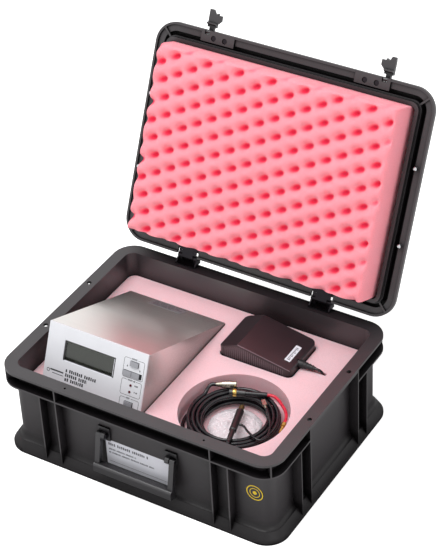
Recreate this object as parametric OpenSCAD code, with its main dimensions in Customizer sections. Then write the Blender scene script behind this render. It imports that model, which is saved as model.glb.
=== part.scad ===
// Electrostatic voltmeter kit: a wedge-shaped bench meter, its mains adapter and its
// measuring cable, bedded in cut foam inside a moulded case with a hinged lid.
// Millimetres. Origin: centre of the case's underside. +X right, -Y front, +Z up.
// The lid is drawn open, the handle hanging and the latches folded out.

/* [Case] */
// Length of the case over its rim
case_l = 400; // [390:1:460]
// Width of the case over its rim
case_w = 300; // [294:1:340]
// Height of the base to its rim
base_h = 130; // [120:1:160]
// Height of the lid above the rim
lid_h = 46; // [42:1:70]
// Width of the rim, from its edge to the opening
rim_w = 17; // [15:0.5:19]
// Wall of the base
wall_t = 4; // [3:0.5:4.5]
// Wall of the lid
lid_wall_t = 2.8; // [2:0.2:3.6]
// Plan radius of the rim's corners
rim_r = 29; // [26:1:34]
// Angle of the open lid from closed
lid_open = 114.5; // [90:0.5:118]

/* [Foam] */
// Depth of the cut foam below the rim
foam_drop = 37.5; // [34:0.5:42]
// Thickness of the foam layer with the pockets
cut_t = 28.5; // [24:0.5:30]
// Play round each piece in its pocket
pocket_gap = 1; // [0.5:0.1:2]
// Radius of the round pocket
pocket_r = 70; // [68:1:74]
// Pitch of the lid foam's pits
pit_pitch = 23; // [21:0.5:27]
// Height of the lid foam's peaks over its pits
pit_depth = 20; // [12:1:24]

/* [Meter] */
// Width of the meter
meter_w = 146.3; // [140:0.5:152]
// Height of the front panel along its slope
panel_h = 110.5; // [104:0.5:114]
// Length of the sloping top
cover_l = 189.8; // [180:0.5:196]
// Slope of the top from level
slope = 22.8; // [18:0.2:25]
// Sheet of the cover and the chassis
sheet_t = 1.2; // [0.8:0.1:1.6]
// Thickness of the front panel
panel_t = 2.5; // [2:0.1:3.5]

/* [Adapter] */
// Length of the adapter
adapter_l = 105; // [98:1:108]
// Width of the adapter
adapter_w = 70; // [66:1:72]
// Height of the adapter at its ridge
adapter_h = 52.7; // [48:0.5:54]

/* [Handle] */
// Width of the handle over its arms
handle_w = 114; // [106:1:120]
// Drop of the grip below the pivots
handle_drop = 46; // [42:1:48]

/* [Cable] */
// Diameter of the measuring cable
coax_d = 4.8; // [4.4:0.1:5]
// Radius of the coil's outer loop
coil_r = 58; // [57:0.5:59]

/* [Hidden] */
$fn = 96;
over = 1;
seat = 0.3;
play = 0.05;

// Base section
rim_out = 13;
rim_t = 3.5;
rib_drop = 20.5;
rib_t = 2.5;
rim_bead_drop = 5.5;
rim_bead_t = 1.2;
rim_bead_out = 5;
foot_top = 28;
foot_mid = [6.5, 15];
foot_low = [14, 3];
foot_t = 3;
floor_z = 4;
floor_t = 3;
fin_t = 2;
fin_in = 34;
fin_pitch = 24;
side_fin_y = 84;
grip_half = 60;
grip_lip = 6;
grip_lip_t = 2.5;
under_rib_t = 3;
under_rib_share = 0.3;
pin_x_in = 7.5;
pin_y = 50;
pin_hole_r = 3.1;
rim_hole_x = 100;
rim_hole_in = 8.5;
rim_hole_r = 1.5;
inner_r = rim_r - rim_w;
outer_r = rim_r - rim_out;
wall_in_r = outer_r - wall_t;
open_l = case_l - 2 * rim_w;
open_w = case_w - 2 * rim_w;
wall_l = case_l - 2 * rim_out;
wall_w = case_w - 2 * rim_out;
inside_l = wall_l - 2 * wall_t;
inside_w = wall_w - 2 * wall_t;
rib_z = base_h - rib_drop;
floor_top = floor_z + floor_t;

// Foam levels and pocket places
foam_gap = 0.5;
foam_top = base_h - foam_drop;
pad_top = foam_top - cut_t;
pad_z = floor_top + seat;
foam_l = min(open_l, inside_l) - 2 * foam_gap;
foam_w = min(open_w, inside_w) - 2 * foam_gap;
foam_r = min(inner_r, wall_in_r) - foam_gap;
meter_margin_share = 0.1857;
meter_front_margin = 13.1;
adapter_margin_share = 0.204;
adapter_rear_margin = 20;
pocket_side_share = 0.3927;
pocket_front_margin = 19.8;
pocket_corner_r = 2;
spare_l = open_l - meter_w - adapter_l;
pocket_spare_l = open_l - meter_w - 2 * pocket_r;
meter_x = -open_l / 2 + spare_l * meter_margin_share;
meter_y = -open_w / 2 + meter_front_margin;
adapter_x = meter_x + meter_w + spare_l * adapter_margin_share;
adapter_y = open_w / 2 - adapter_rear_margin - adapter_w;
pocket_x = open_l / 2 - pocket_spare_l * pocket_side_share - pocket_r;
pocket_y = -open_w / 2 + pocket_front_margin + pocket_r;

// Lid section, as steps in from the lid's edge and up from its rim
lid_gap = 0.3;
lid_grow = 1;
lid_short = 1;
lid_l = case_l + 2 * lid_grow;
lid_w = case_w - 2 * lid_short;
lid_r = 30;
lip_w = 3;
lip_h = 5.5;
lip_floor = 2.5;
step_in = 8.5;
step_h = 15;
groove_in = 11.5;
groove_h = 12;
plug_in = 18.8;
plug_w = 5;
plug_drop = 6;
plug_web = 1.8;
plug_top = 4;
crown_r = 8;
corner_rib_t = 2.4;
lid_z = base_h + lid_gap;
lid_top_z = lid_z + lid_h - lid_wall_t;
lid_foam_in = 29.5;
lid_foam_side_in = 24.8;
lid_foam_l = lid_l - 2 * lid_foam_in;
lid_foam_w = lid_w - 2 * lid_foam_side_in;
foam_proud = 45;
pit_origin = [8.3, 7.6];
pit_angles = [-29.1, 73.3];
pit_span = 10;

// Hinges
hinge_y = case_w / 2 + 1.2;
hinge_rise = 7.5;
hinge_z = base_h + hinge_rise;
hinge_x = 100.5;
leaf_w = 30;
leaf_t = 1.6;
leaf_y = 12.2;
knuckle_w = 6.5;
knuckle_gap = 0.4;
knuckle_r = 3.8;
hinge_pin_r = 1.5;
hinge_head_r = 2.4;
hinge_head_t = 0.8;
leaf_back = 3.8;
gusset_t = 1.6;
hinge_screw_x = 8;
hinge_screw_y = 7.7;
screw_head_r = 2.5;
screw_head_t = 1.4;
screw_shank_r = 1.4;
screw_shank_l = 3;
screw_play = 0.1;
lid_leaf_y = 18;
lid_leaf_rise = 2;
lid_screw_y = 11;
lid_screw_x = 10;
notch_gap = 0.5;

// Locating pins
locating_r = 2.5;
locating_drop = 6;
locating_tip = 1;

// Latches
latch_x = 127.5;
latch_block_x = [87, 136];
latch_block_y = 15;
latch_block_gap = 0.2;
latch_block_t = 5.3;
latch_screw_x = [101, 117.5];
latch_screw_in = 9;
latch_sink_r = 3.6;
latch_sink = 3;
latch_head_r = 3;
latch_head_t = 2;
latch_pivot_in = 2.5;
latch_pivot_rise = 4;
latch_pin_r = 1;
latch_barrel_r = 2.6;
latch_neck = 6.6;
latch_slot_gap = 0.4;
latch_slot_in = 5;
latch_body_w = 13;
latch_body_p = [5.6, 28.5];
latch_body_q = [4.6, 9.8];
latch_arm_half = 1.5;
latch_hook_p = [8.5, 12];
latch_hook_q = 1;
latch_bump_w = 6;
latch_bump_p = [11, 22.5];
latch_tip = 5;
latch_cut = 3.2;

// Handle
grip_share = 0.23077;
handle_z = base_h * grip_share + handle_drop;
handle_out = 5.5;
arm_w = 7;
arm_t = 6;
arm_r = 3.4;
grip_h = 14;
grip_t = 12;
grip_wall = 2.4;
grip_front_t = 3;
grip_offset = 9.5;
handle_pin_r = 2;
bracket_t = 2.5;
bracket_h = 20;
bracket_w = 17;
lug_w = 5.8;
lug_r = 5;
pin_head_r = 3;
pin_head_t = 1.6;
handle_play = 0.4;

// Meter places, from the panel's upper left corner
foot_h = 2.2;
foot_r = 6;
foot_in = 18;
meter_z = pad_top + seat + foot_h;
panel_top_y = meter_y + panel_h * sin(slope);
panel_top_z = meter_z + panel_h * cos(slope);
cover_end_y = panel_top_y + cover_l * cos(slope);
cover_end_z = panel_top_z - cover_l * sin(slope);
seam = 0.3;
fit_gap = 0.1;
display_at = [25.5, 18];
display_right = 44.9;
display_h = 27.1;
display_u = [display_at[0], meter_w - display_right];
display_w = [display_at[1], display_at[1] + display_h];
bezel_edge = [2.5, 1.5];
bezel_sink = 0.8;
window_t = 1;
module_edge = [2, 1.6];
module_t = 6.4;
board_v = 12;
board_t = 1.6;
board_at = [16, 8];
board_right = 5.3;
board_h = 76;
board_u = [board_at[0], meter_w - board_right];
board_w_span = [board_at[1], board_at[1] + board_h];
button_hole_gap = 0.3;
button_size = [11.8, 6.5];
upper_button_right = 23.3;
lower_button_right = 24;
button_down = [14.5, 67.5];
upper_button_at = [meter_w - upper_button_right, button_down[0]];
lower_button_at = [meter_w - lower_button_right, button_down[1]];
button_out = 2.2;
button_travel = 1.2;
button_flange = 1;
button_flange_t = 1;
stem_r = 1.6;
switch_body = [6, 6, 2];
switch_right = 31.8;
switch_down = 28.2;
switch_at = [meter_w - switch_right, switch_down];
switch_size = [23.2, 7.3];
switch_travel = 3;
switch_out = 1.6;
switch_step = 0.7;
lamp_r = 1.5;
lamp_out = 0.8;
lamp_flange_r = 2.2;
lamps_right = [18.7, 19];
lamps_down = [46, 54.7];
lamps_at = [for (i = [0, 1]) [meter_w - lamps_right[i], lamps_down[i]]];
standoff_r = 3;
standoff_in = [5, 4];
rear_in = 13.9;
tray_lip = 12;
tray_gap = 0.2;
input_at = [34, 14];
input_flange_r = 8;
input_flange_t = 2;
input_r = 4.8;
input_l = 9;
input_bore_r = 3.9;
input_lug_r = 1;
power_right = 34.3;
power_rise = 13;
power_at = [meter_w - power_right, power_rise];
power_size = [12, 10, 2];
power_r = 4.2;
power_l = 6;
power_bore_r = 3.2;
power_pin_r = 1;
main_at = [14, 28];
main_right = 16.3;
main_behind = 57.79;
main_size = [
  meter_w - main_at[0] - main_right, cover_end_y - meter_y - main_at[1] - main_behind, board_t
];
pillar_r = 3;
pillar_h = 6;
pillar_in = 5;
shield_at = [16, 70];
shield_size = [46, 50, 14];
screw_front = 22;
screw_behind = 67.79;
screw_side_y = [screw_front, cover_end_y - meter_y - screw_behind];
screw_side_z = 14;
side_screw_r = 2.6;
side_screw_gap = 0.1;

// Adapter section
adapter_ends = [41.7, 38.7];
adapter_ridge_share = 0.267;
adapter_r = 8;
adapter_wall = 2.6;
adapter_split = 20;
rib_pitch = 3;
rib_from = 22;
rib_count = 23;
rib_w = 0.9;
rib_d = 0.5;
rib_margin = 6;
adapter_edge = 1.6;
core_size = [46, 42, 22];
core_at = [14, 14];
core_gap = 0.5;
inlet_size = [8, 19, 12];
inlet_at = [20, 4];
inlet_well_r = 3.6;
inlet_waist = 1.9;
inlet_pin_half = 4.3;
inlet_pin_r = 1.2;
relief_l = 22;
relief_y = 25.5;
relief_z = 34;
relief_r = [5.2, 2.4];
relief_ribs = 4;
relief_rib_r = 0.5;
relief_rib_w = 1.2;
lead_d = 3.4;
lead_play = 0.3;
well_x = [16, 98];
well_y = [7, 65];
well_depth = 16;
well_r = 4;
slot_end = 141.5;
slot_y = 27.5;
slot_w = 4.6;
lead_coil_at = [46, 35];
lead_coil_r = 24;
lead_coil_pitch = 4.2;
lead_coil_rise = 4;
lead_coil_loops = 2.75;
lead_coil_z = -14;
lead_tail = 27;
dc_plug_r = 4.5;
dc_plug_l = 22;
dc_pin_r = 2.75;
dc_pin_l = 9.5;

// Route of the adapter's lead, from the adapter's lower left corner
adapter_route = [
  [127, 25.5, 34], [130.5, 25.8, 33.7], [133.8, 26.4, 32.2], [136.4, 27, 29], [137.8, 27.4, 24.5],
  [138.2, 27.5, 18], [138.2, 27.5, 11], [138, 27.5, 4], [136.2, 27.5, -3], [132, 27.5, -8.6],
  [125, 27.5, -12.2], [116, 27.5, -13.7], [106, 27.5, -14], [96, 27, -14], [87, 25, -14],
  [78, 20.5, -14], [70.5, 15.5, -14], [62, 12.2, -14], [54, 11, -14]
];

// Measuring cable, from the round pocket's centre on the pad
coil_pitch = 5.8;
coil_rise = 5.4;
coil_loops = 3;
coil_start = 165;
coil_z = 2.7;
coax_tail = [
  [-54.8, 19.6, 18.9], [-54.5, 24.2, 21.3], [-53.4, 28.6, 24.9], [-50.9, 32.2, 26.7], [-46.5, 34.2, 26.9]
];
coax_route = [
  [23.6, -58.4, 24.8], [22.8, -61, 21], [18.3, -62.6, 17.8],
  [10.3, -64.3, 15.5], [0, -65, 14], [-11.7, -64, 12], [-22.2, -61.1, 10],
  [-32.7, -56.1, 8.2], [-41.8, -49.8, 6.5], [-49.7, -42.2, 5.2], [-56.3, -32.5, 4.2],
  [-60.7, -22.8, 3.4], [-63.3, -12.3, 2.9], [-61.8, -4.5, 2.7], [-59.2, 3.2, 2.7]
];
connector_l = 26;
connector_r = 4.9;
probe_tail = [21.3, -49.8, 26.1];
probe_end = [-1.9, 22.4, 17.4];
probe_r = [2.7, 3.4, 4.6, 4.9];
probe_shares = [0.14, 0.3, 0.86];
probe_tip_l = 11;
probe_tip_r = 3.3;
probe_point_l = 8;
probe_point_r = 1.2;
earth_d = 3;
earth_route = [
  [14.4, -12.5, 21.7], [17.3, -11.6, 21.7], [22.4, -13.4, 22], [29, -18.5, 23], [36, -23, 24.2],
  [43.5, -27.2, 25], [50, -28.8, 25], [55.2, -26.6, 24.8], [57.4, -21, 24.6],
  [55.8, -12, 24.4], [51.5, -1, 24.3], [45.5, 9.5, 24.3], [38, 19, 24.3], [30.5, 26.5, 24.3]
];
clip_size = [15, 5, 4.4];
clip_dir_angle = 135;
red_d = 4;
plug_from = [-24.6, 30.2, 25.7];
plug_l = 20.4;
plug_r = 4.4;
plug_ring_r = 4.9;
plug_ring_w = 4;
sleeve_to = [19.4, 48.8, 24.6];
sleeve_r = 3.3;
red_route = [
  [29.5, 50.6, 24.2], [36.5, 47.4, 23.9],
  [44, 42, 23.8], [51.5, 36, 23.7], [57.6, 29, 23.7], [61.4, 21.5, 23.4], [63, 14, 23]
];
red_end_l = 16;
red_end_r = 3;
bag_r = 37;
bag_h = 11.6;
bag_crown = 3.4;

// Shared shapes

// Rounded plate lying on XY, centred
module plate(l, w, r, h) {
  linear_extrude(h) {
    square([l - 2 * r, w], center = true);
    square([l, w - 2 * r], center = true);
    for (sx = [-1, 1], sy = [-1, 1])
      translate([sx * (l / 2 - r), sy * (w / 2 - r)]) circle(r);
  }
}

// Carries a section round a rounded rectangle; section x runs out from the corner's centre
module around(l, w, r) {
  for (k = [0:3]) {
    out = k % 2 == 0 ? l : w;
    along = k % 2 == 0 ? w : l;
    rotate([0, 0, 90 * k]) translate([out / 2 - r, along / 2 - r, 0]) {
      rotate_extrude(angle = 90) children();
      rotate([90, 0, 0]) linear_extrude(along - 2 * r) children();
    }
  }
}

// Box between two corners
module span(a, b) {
  translate(a) cube(b - a);
}

// Both sides of the case's middle plane
module both() {
  children();
  mirror([1, 0, 0]) children();
}

// Turns Z towards a direction and moves to a point
module aim(from, dir) {
  len = norm(dir);
  translate(from)
    rotate([0, acos(dir[2] / len), atan2(dir[1], dir[0])]) children();
}

// Tube of a given radius swept along points, with flat ends
function unit(v) = v / norm(v);
function end_of(p) = p[len(p) - 1];
function end_dir(p) = unit(p[len(p) - 1] - p[len(p) - 2]);
function tangent(p, i) = unit(p[min(i + 1, len(p) - 1)] - p[max(i - 1, 0)]);
function side_of(t, up) = unit(cross(up, t));
function ring_at(c, t, up, r, sides) =
  let (s = side_of(t, up), n = cross(t, s))
  [for (k = [0:sides - 1]) c + r * (cos(360 * k / sides) * s + sin(360 * k / sides) * n)];

module tube(p, r, sides, up) {
  n = len(p);
  pts = [for (i = [0:n - 1]) each ring_at(p[i], tangent(p, i), up, r, sides)];
  walls = [
    for (i = [0:n - 2], k = [0:sides - 1])
      let (a = i * sides + k, b = i * sides + (k + 1) % sides)
      each [[a, a + sides, b + sides], [a, b + sides, b]]
  ];
  first = [for (k = [1:sides - 2]) [0, k, k + 1]];
  last = [for (k = [1:sides - 2]) [(n - 1) * sides, (n - 1) * sides + k + 1, (n - 1) * sides + k]];
  polyhedron(pts, concat(walls, first, last));
}

// Smooth curve through hand-chosen points
function spline(a, b, c, d, t) =
  0.5 * (2 * b + (c - a) * t + (2 * a - 5 * b + 4 * c - d) * t * t
    + (3 * b - a - 3 * c + d) * t * t * t);
function smooth(p, k) = concat(
  [for (i = [0:len(p) - 2], j = [0:k - 1])
    spline(p[max(i - 1, 0)], p[i], p[i + 1], p[min(i + 2, len(p) - 1)], j / k)],
  [p[len(p) - 1]]);

// The same with its first and last steps straight, so that its ends meet other pieces squarely
function route(p, k) = concat([p[0]], smooth([for (i = [1:len(p) - 2]) p[i]], k), [end_of(p)]);

// Piled coil: spirals in and out at a steady rate and climbs where the spiral turns back
function fold(t, n) = let (m = t % (2 * n)) m <= n ? m : 2 * n - m;
function climb(t, n, layers) =
  let (k = min(floor(t / n + 0.5), layers - 1), d = t - k * n)
  k == 0 ? 0 : k - 1 + min(max(2 * d + 0.5, 0), 1);
function coil_point(t, r, pitch, rise, n, layers, start) =
  let (rad = r - pitch * fold(t, n), a = start - 360 * t)
  [rad * cos(a), rad * sin(a), rise * climb(t, n, layers)];
coil_steps = 24;
function coil(r, pitch, rise, n, layers, start, lead_in) = concat(
  [[r * cos(start), r * sin(start), 0] - lead_in * [sin(start), -cos(start), 0]],
  [for (i = [0:round(coil_steps * n * layers)])
    coil_point(i / coil_steps, r, pitch, rise, n, layers, start)]);

// Least gap of a coil to itself, from points more than half a loop apart
function self_gap(p, d) = min([
  for (i = [0:2:len(p) - 1], j = [i + coil_steps / 2:len(p) - 1]) norm(p[i] - p[j])
]) - d;

// Case base

module base_section() {
  fe = rim_r;
  wo = outer_r;
  polygon([
    [wo - wall_t, floor_z], [wo, floor_z], [wo, foot_top - foot_t - foot_mid[0]],
    [wo + foot_mid[0] - foot_t, foot_mid[1] - foot_t], [wo + foot_low[0] - foot_t, foot_low[1] - over],
    [wo + foot_low[0] - foot_t, 0], [wo + foot_low[0], 0], [wo + foot_low[0], foot_low[1]],
    [wo + foot_mid[0], foot_mid[1]],
    for (a = [15:15:75]) [wo + foot_mid[0] * (1 - sin(a)), foot_top - (foot_top - foot_mid[1]) * cos(a)],
    [wo, foot_top], [wo, rib_z - rib_t], [fe, rib_z - rib_t], [fe, rib_z], [wo, rib_z],
    [wo, base_h - rim_t], [fe, base_h - rim_t], [fe, base_h], [fe - rim_w, base_h],
    [fe - rim_w, base_h - rim_t], [wo - wall_t, base_h - rim_t]
  ]);
}

module fin(top) {
  linear_extrude(fin_t, center = true) polygon([
    [-over, top], [rim_out, top], [rim_out, foot_low[1]], [foot_mid[0], foot_mid[1] - over],
    [-over, foot_mid[1] - over]
  ]);
}

// A fin standing out of a wall at a place along it, facing -Y
module wall_fin(x, half, top) {
  translate([x, -half, 0]) rotate([90, 0, -90]) fin(top);
}

module base_shell() color("#3c3a3e") {
  difference() {
    union() {
      around(case_l, case_w, rim_r) base_section();
      translate([0, 0, floor_z]) plate(inside_l + wall_t, inside_w + wall_t, wall_in_r + wall_t / 2, floor_t);
      for (k = [0, 180]) rotate([0, 0, k]) {
        both() {
          wall_fin(wall_l / 2 - outer_r - fin_in - fin_t / 2, wall_w / 2, rib_z);
          wall_fin(wall_l / 2 - outer_r - fin_in - fin_t / 2 - fin_pitch, wall_w / 2, base_h - rim_t);
          span([wall_l / 2 - outer_r - fin_in - fin_pitch + rim_bead_out, -wall_w / 2 - rim_bead_out,
                base_h - rim_bead_drop - rim_bead_t],
               [wall_l / 2 - outer_r, -wall_w / 2 + over, base_h - rim_bead_drop]);
        }
        rotate([0, 0, 90]) both() {
          wall_fin(side_fin_y, wall_l / 2, rib_z);
          wall_fin(grip_half + fin_t / 2, wall_l / 2, base_h - rim_t);
        }
        for (m = [0, 1]) mirror([m, 0, 0])
          translate([case_l / 2 - rim_r, case_w / 2 - rim_r, rib_z - rib_t])
            rotate([0, 0, 45]) span([outer_r - over, -fin_t / 2, 0], [rim_r, fin_t / 2, base_h - rib_z]);
      }
      for (s = [-1, 0, 1]) {
        span([-inside_l / 2 - over, s * inside_w * under_rib_share - under_rib_t / 2, 0],
             [inside_l / 2 + over, s * inside_w * under_rib_share + under_rib_t / 2, floor_z + over]);
        span([s * inside_l * under_rib_share - under_rib_t / 2, -inside_w / 2 - over, 0],
             [s * inside_l * under_rib_share + under_rib_t / 2, inside_w / 2 + over, floor_z + over]);
      }
    }
    for (m = [0, 1]) mirror([m, 0, 0]) {
      span([wall_l / 2, -grip_half, rib_z - rib_t - over],
           [case_l / 2 + over, grip_half, base_h - grip_lip]);
      span([wall_l / 2, -grip_half, base_h - grip_lip - over],
           [case_l / 2 - grip_lip_t, grip_half, base_h - rim_t]);
      for (s = [-1, 1]) {
        translate([case_l / 2 - pin_x_in, s * pin_y, base_h - rim_t - over])
          cylinder(r = pin_hole_r, h = rim_t + 2 * over);
        translate([rim_hole_x, s * (case_w / 2 - rim_hole_in), base_h - rim_t - over])
          cylinder(r = rim_hole_r, h = rim_t + 2 * over);
        translate([hinge_x + s * hinge_screw_x, hinge_y - hinge_screw_y, base_h - rim_t - over])
          cylinder(r = screw_shank_r + screw_play, h = rim_t + 2 * over);
      }
    }
  }
  for (m = [0, 1]) mirror([m, 0, 0])
    span([case_l / 2 - grip_lip_t, -grip_half - over, base_h - grip_lip],
         [case_l / 2, grip_half + over, base_h - rim_t + over]);
}

// Foam in the base

module adapter_well() {
  translate([adapter_x, adapter_y, 0]) {
    translate([(well_x[0] + well_x[1]) / 2, (well_y[0] + well_y[1]) / 2, pad_top - well_depth])
      plate(well_x[1] - well_x[0], well_y[1] - well_y[0], well_r, well_depth + over);
    span([well_x[1] - over, slot_y - slot_w / 2, pad_top - well_depth],
         [slot_end, slot_y + slot_w / 2, foam_top + over]);
  }
}

module foam_pad() color("#e8b8c0") difference() {
  translate([0, 0, pad_z]) plate(foam_l, foam_w, foam_r, pad_top - pad_z);
  adapter_well();
}

module cut_foam() color("#eec6cc") difference() {
  translate([0, 0, pad_top]) plate(foam_l, foam_w, foam_r, cut_t);
  translate([meter_x + meter_w / 2, (meter_y + cover_end_y) / 2, pad_top - over])
    plate(meter_w + 2 * pocket_gap, cover_end_y - meter_y + 2 * pocket_gap, pocket_corner_r, cut_t + 2 * over);
  translate([adapter_x + adapter_l / 2, adapter_y + adapter_w / 2, pad_top - over])
    plate(adapter_l + 2 * pocket_gap, adapter_w + 2 * pocket_gap, adapter_r, cut_t + 2 * over);
  translate([pocket_x, pocket_y, pad_top - over]) cylinder(r = pocket_r, h = cut_t + 2 * over);
  adapter_well();
}

// Lid, drawn closed and then swung open about the hinge line

module lid_pose() {
  translate([0, hinge_y, hinge_z]) rotate([-lid_open, 0, 0]) translate([0, -hinge_y, -hinge_z]) children();
}

module lid_section() {
  e = lid_r;
  top = lid_h - crown_r;
  wall_out = plug_in - lid_wall_t;
  polygon([
    [e, 0], [e, lip_h], [e - step_in, lip_h], [e - step_in, step_h], [e - wall_out, step_h],
    for (a = [0:15:90]) [e - wall_out - crown_r * (1 - cos(a)), top + crown_r * sin(a)],
    [e - wall_out - crown_r, lid_h - lid_wall_t], [e - plug_in, top],
    [e - plug_in, plug_top + plug_w], [e - plug_in - plug_w, plug_top], [e - plug_in - plug_w, -plug_drop],
    [e - plug_in, -plug_drop], [e - plug_in, 0], [e - plug_in + plug_web, 0],
    [e - plug_in + plug_web, groove_h], [e - groove_in, groove_h], [e - groove_in, lip_floor],
    [e - lip_w, lip_floor], [e - lip_w, 0]
  ]);
}

module lid_shell() color("#403e42") lid_pose() difference() {
  union() {
    translate([0, 0, lid_z]) around(lid_l, lid_w, lid_r) lid_section();
    translate([0, 0, lid_top_z])
      plate(lid_l - 2 * plug_in - crown_r, lid_w - 2 * plug_in - crown_r, lid_r - plug_in, lid_wall_t);
    for (sx = [-1, 1], sy = [-1, 1])
      translate([sx * (lid_l / 2 - lid_r), sy * (lid_w / 2 - lid_r), lid_z + lid_gap])
        rotate([0, 0, 45 * sy + (sx < 0 ? sy * 90 : 0)])
          span([lid_r - plug_in + plug_web - over, -corner_rib_t / 2, 0],
               [lid_r - lip_w + over, corner_rib_t / 2, lip_floor + over]);
  }
  both() {
    span([latch_block_x[0] - latch_block_gap, -lid_w / 2 - over, lid_z - over],
         [latch_block_x[1] + latch_block_gap, -lid_w / 2 + latch_block_y + latch_block_gap,
          lid_z + latch_block_t + latch_block_gap]);
    translate([hinge_x, 0, 0]) {
      span([-leaf_w / 2 - notch_gap, hinge_y - lid_leaf_y - notch_gap, lid_z - over],
           [leaf_w / 2 + notch_gap, hinge_y, base_h + lid_leaf_rise + leaf_t]);
      span([-leaf_w / 2 - notch_gap, hinge_y - leaf_y + lid_leaf_rise + leaf_t - notch_gap, lid_z - over],
           [leaf_w / 2 + notch_gap, hinge_y, lid_z + lip_h + over]);
      for (s = [-1, 1])
        translate([s * lid_screw_x, hinge_y - lid_screw_y, base_h + lid_leaf_rise])
          cylinder(r = screw_shank_r + screw_play, h = leaf_t + screw_shank_l + screw_play);
    }
  }
}

// Convoluted foam: pits and peaks on a slanted lattice, cut square to the lid
function pit_axis(k) = pit_pitch * [cos(pit_angles[k]), sin(pit_angles[k])];
function pit_height(i, j) = (2 - (i % 2 == 0 ? 1 : -1) - (j % 2 == 0 ? 1 : -1)) / 4;

module crate() {
  n = 2 * pit_span;
  count = 2 * n + 1;
  m = count * count;
  deck = [
    for (i = [-n:n], j = [-n:n])
      let (p = pit_origin + pit_axis(0) * i / 2 + pit_axis(1) * j / 2)
      [p[0], p[1], -foam_proud + pit_depth * (1 - pit_height(abs(i), abs(j)))]
  ];
  edge = concat(
    [for (i = [0:count - 1]) i * count],
    [for (j = [1:count - 1]) (count - 1) * count + j],
    [for (i = [count - 2:-1:0]) i * count + count - 1],
    [for (j = [count - 2:-1:1]) j]);
  back = [for (k = edge) [deck[k][0], deck[k][1], lid_h]];
  cells = [
    for (i = [0:count - 2], j = [0:count - 2])
      let (a = i * count + j, b = a + 1, c = a + count, d = c + 1)
      each (i + j) % 2 == 0 ? [[a, b, d], [a, d, c]] : [[a, b, c], [b, d, c]]
  ];
  skirt = [
    for (k = [0:len(edge) - 1])
      let (a = edge[k], b = edge[(k + 1) % len(edge)], c = m + k, d = m + (k + 1) % len(edge))
      each [[b, d, a], [c, a, d]]
  ];
  cap = [for (k = [1:len(edge) - 2]) [m + k + 1, m + k, m]];
  polyhedron(concat(deck, back), concat(cells, skirt, cap));
}

module lid_foam() color("#ffa0a8") lid_pose() intersection() {
  translate([0, 0, lid_z]) crate();
  span([-lid_foam_l / 2, -lid_foam_w / 2, lid_z - foam_proud - over],
       [lid_foam_l / 2, lid_foam_w / 2, lid_top_z - seat]);
}

module locating_pins() color("silver") lid_pose() both() for (s = [-1, 1])
  translate([case_l / 2 - pin_x_in, s * pin_y, lid_z - locating_drop])
    rotate_extrude() polygon([
      [0, 0], [locating_r - locating_tip, 0], [locating_r, locating_tip],
      [locating_r, locating_drop + lip_floor], [0, locating_drop + lip_floor]
    ]);

// Hinges

module base_hinge_leaves() color("#2a282c") both() translate([hinge_x, 0, 0]) difference() {
  union() {
    span([-leaf_w / 2, hinge_y - leaf_y, base_h], [leaf_w / 2, hinge_y - knuckle_gap, base_h + leaf_t]);
    for (s = [-1, 1]) {
      edge = s * leaf_w / 2;
      span([min(edge, edge - s * knuckle_w), hinge_y - knuckle_r, base_h],
           [max(edge, edge - s * knuckle_w), hinge_y + leaf_back, hinge_z]);
      translate([min(edge, edge - s * knuckle_w), hinge_y, hinge_z])
        rotate([0, 90, 0]) cylinder(r = knuckle_r, h = knuckle_w);
      translate([edge - (s > 0 ? gusset_t : 0), 0, 0]) rotate([90, 0, 90]) linear_extrude(gusset_t)
        polygon([[hinge_y - leaf_y, base_h], [hinge_y, base_h], [hinge_y, hinge_z], [hinge_y - knuckle_r, hinge_z]]);
    }
  }
  translate([-leaf_w / 2 - over, hinge_y, hinge_z]) rotate([0, 90, 0])
    cylinder(r = hinge_pin_r + play, h = leaf_w + 2 * over);
  for (s = [-1, 1])
    translate([s * hinge_screw_x, hinge_y - hinge_screw_y, base_h - over])
      cylinder(r = screw_head_r + screw_play, h = leaf_t + 2 * over);
}

module lid_hinge_leaves() color("#2a282c") lid_pose() both() translate([hinge_x, 0, base_h + lid_leaf_rise]) {
  mid = leaf_w / 2 - knuckle_w - knuckle_gap;
  wing = leaf_w / 2 - gusset_t - knuckle_gap;
  rise = hinge_rise - lid_leaf_rise;
  difference() {
    union() {
      span([-wing, hinge_y - lid_leaf_y, 0], [wing, hinge_y - knuckle_r - knuckle_gap, leaf_t]);
      span([-mid, hinge_y - knuckle_r - knuckle_gap, 0], [mid, hinge_y, rise]);
      translate([-mid, hinge_y, rise]) rotate([0, 90, 0]) cylinder(r = knuckle_r, h = 2 * mid);
    }
    translate([-mid - over, hinge_y, rise]) rotate([0, 90, 0])
      cylinder(r = hinge_pin_r + play, h = 2 * mid + 2 * over);
    for (s = [-1, 1])
      translate([s * lid_screw_x, hinge_y - lid_screw_y, -over])
        cylinder(r = screw_head_r + screw_play, h = leaf_t + 2 * over);
  }
}

module hinge_pins() color("silver") both() translate([hinge_x, hinge_y, hinge_z]) rotate([0, 90, 0]) {
  translate([0, 0, -leaf_w / 2 - play]) cylinder(r = hinge_pin_r, h = leaf_w + 2 * play);
  for (z = [-leaf_w / 2 - play - hinge_head_t, leaf_w / 2 + play])
    translate([0, 0, z]) cylinder(r = hinge_head_r, h = hinge_head_t);
}

// Countersunk screw whose head sits on z = 0 and whose shank runs down
module sunk_screw() {
  cylinder(r = screw_head_r, h = screw_head_t);
  translate([0, 0, -screw_shank_l]) cylinder(r = screw_shank_r, h = screw_shank_l + play);
}

module base_hinge_screws() color("#6a6a6e") both() for (s = [-1, 1])
  translate([hinge_x + s * hinge_screw_x, hinge_y - hinge_screw_y, base_h]) sunk_screw();

module lid_hinge_screws() color("#6a6a6e") lid_pose() both() for (s = [-1, 1])
  translate([hinge_x + s * lid_screw_x, hinge_y - lid_screw_y, base_h + lid_leaf_rise + leaf_t])
    mirror([0, 0, 1]) sunk_screw();

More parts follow.
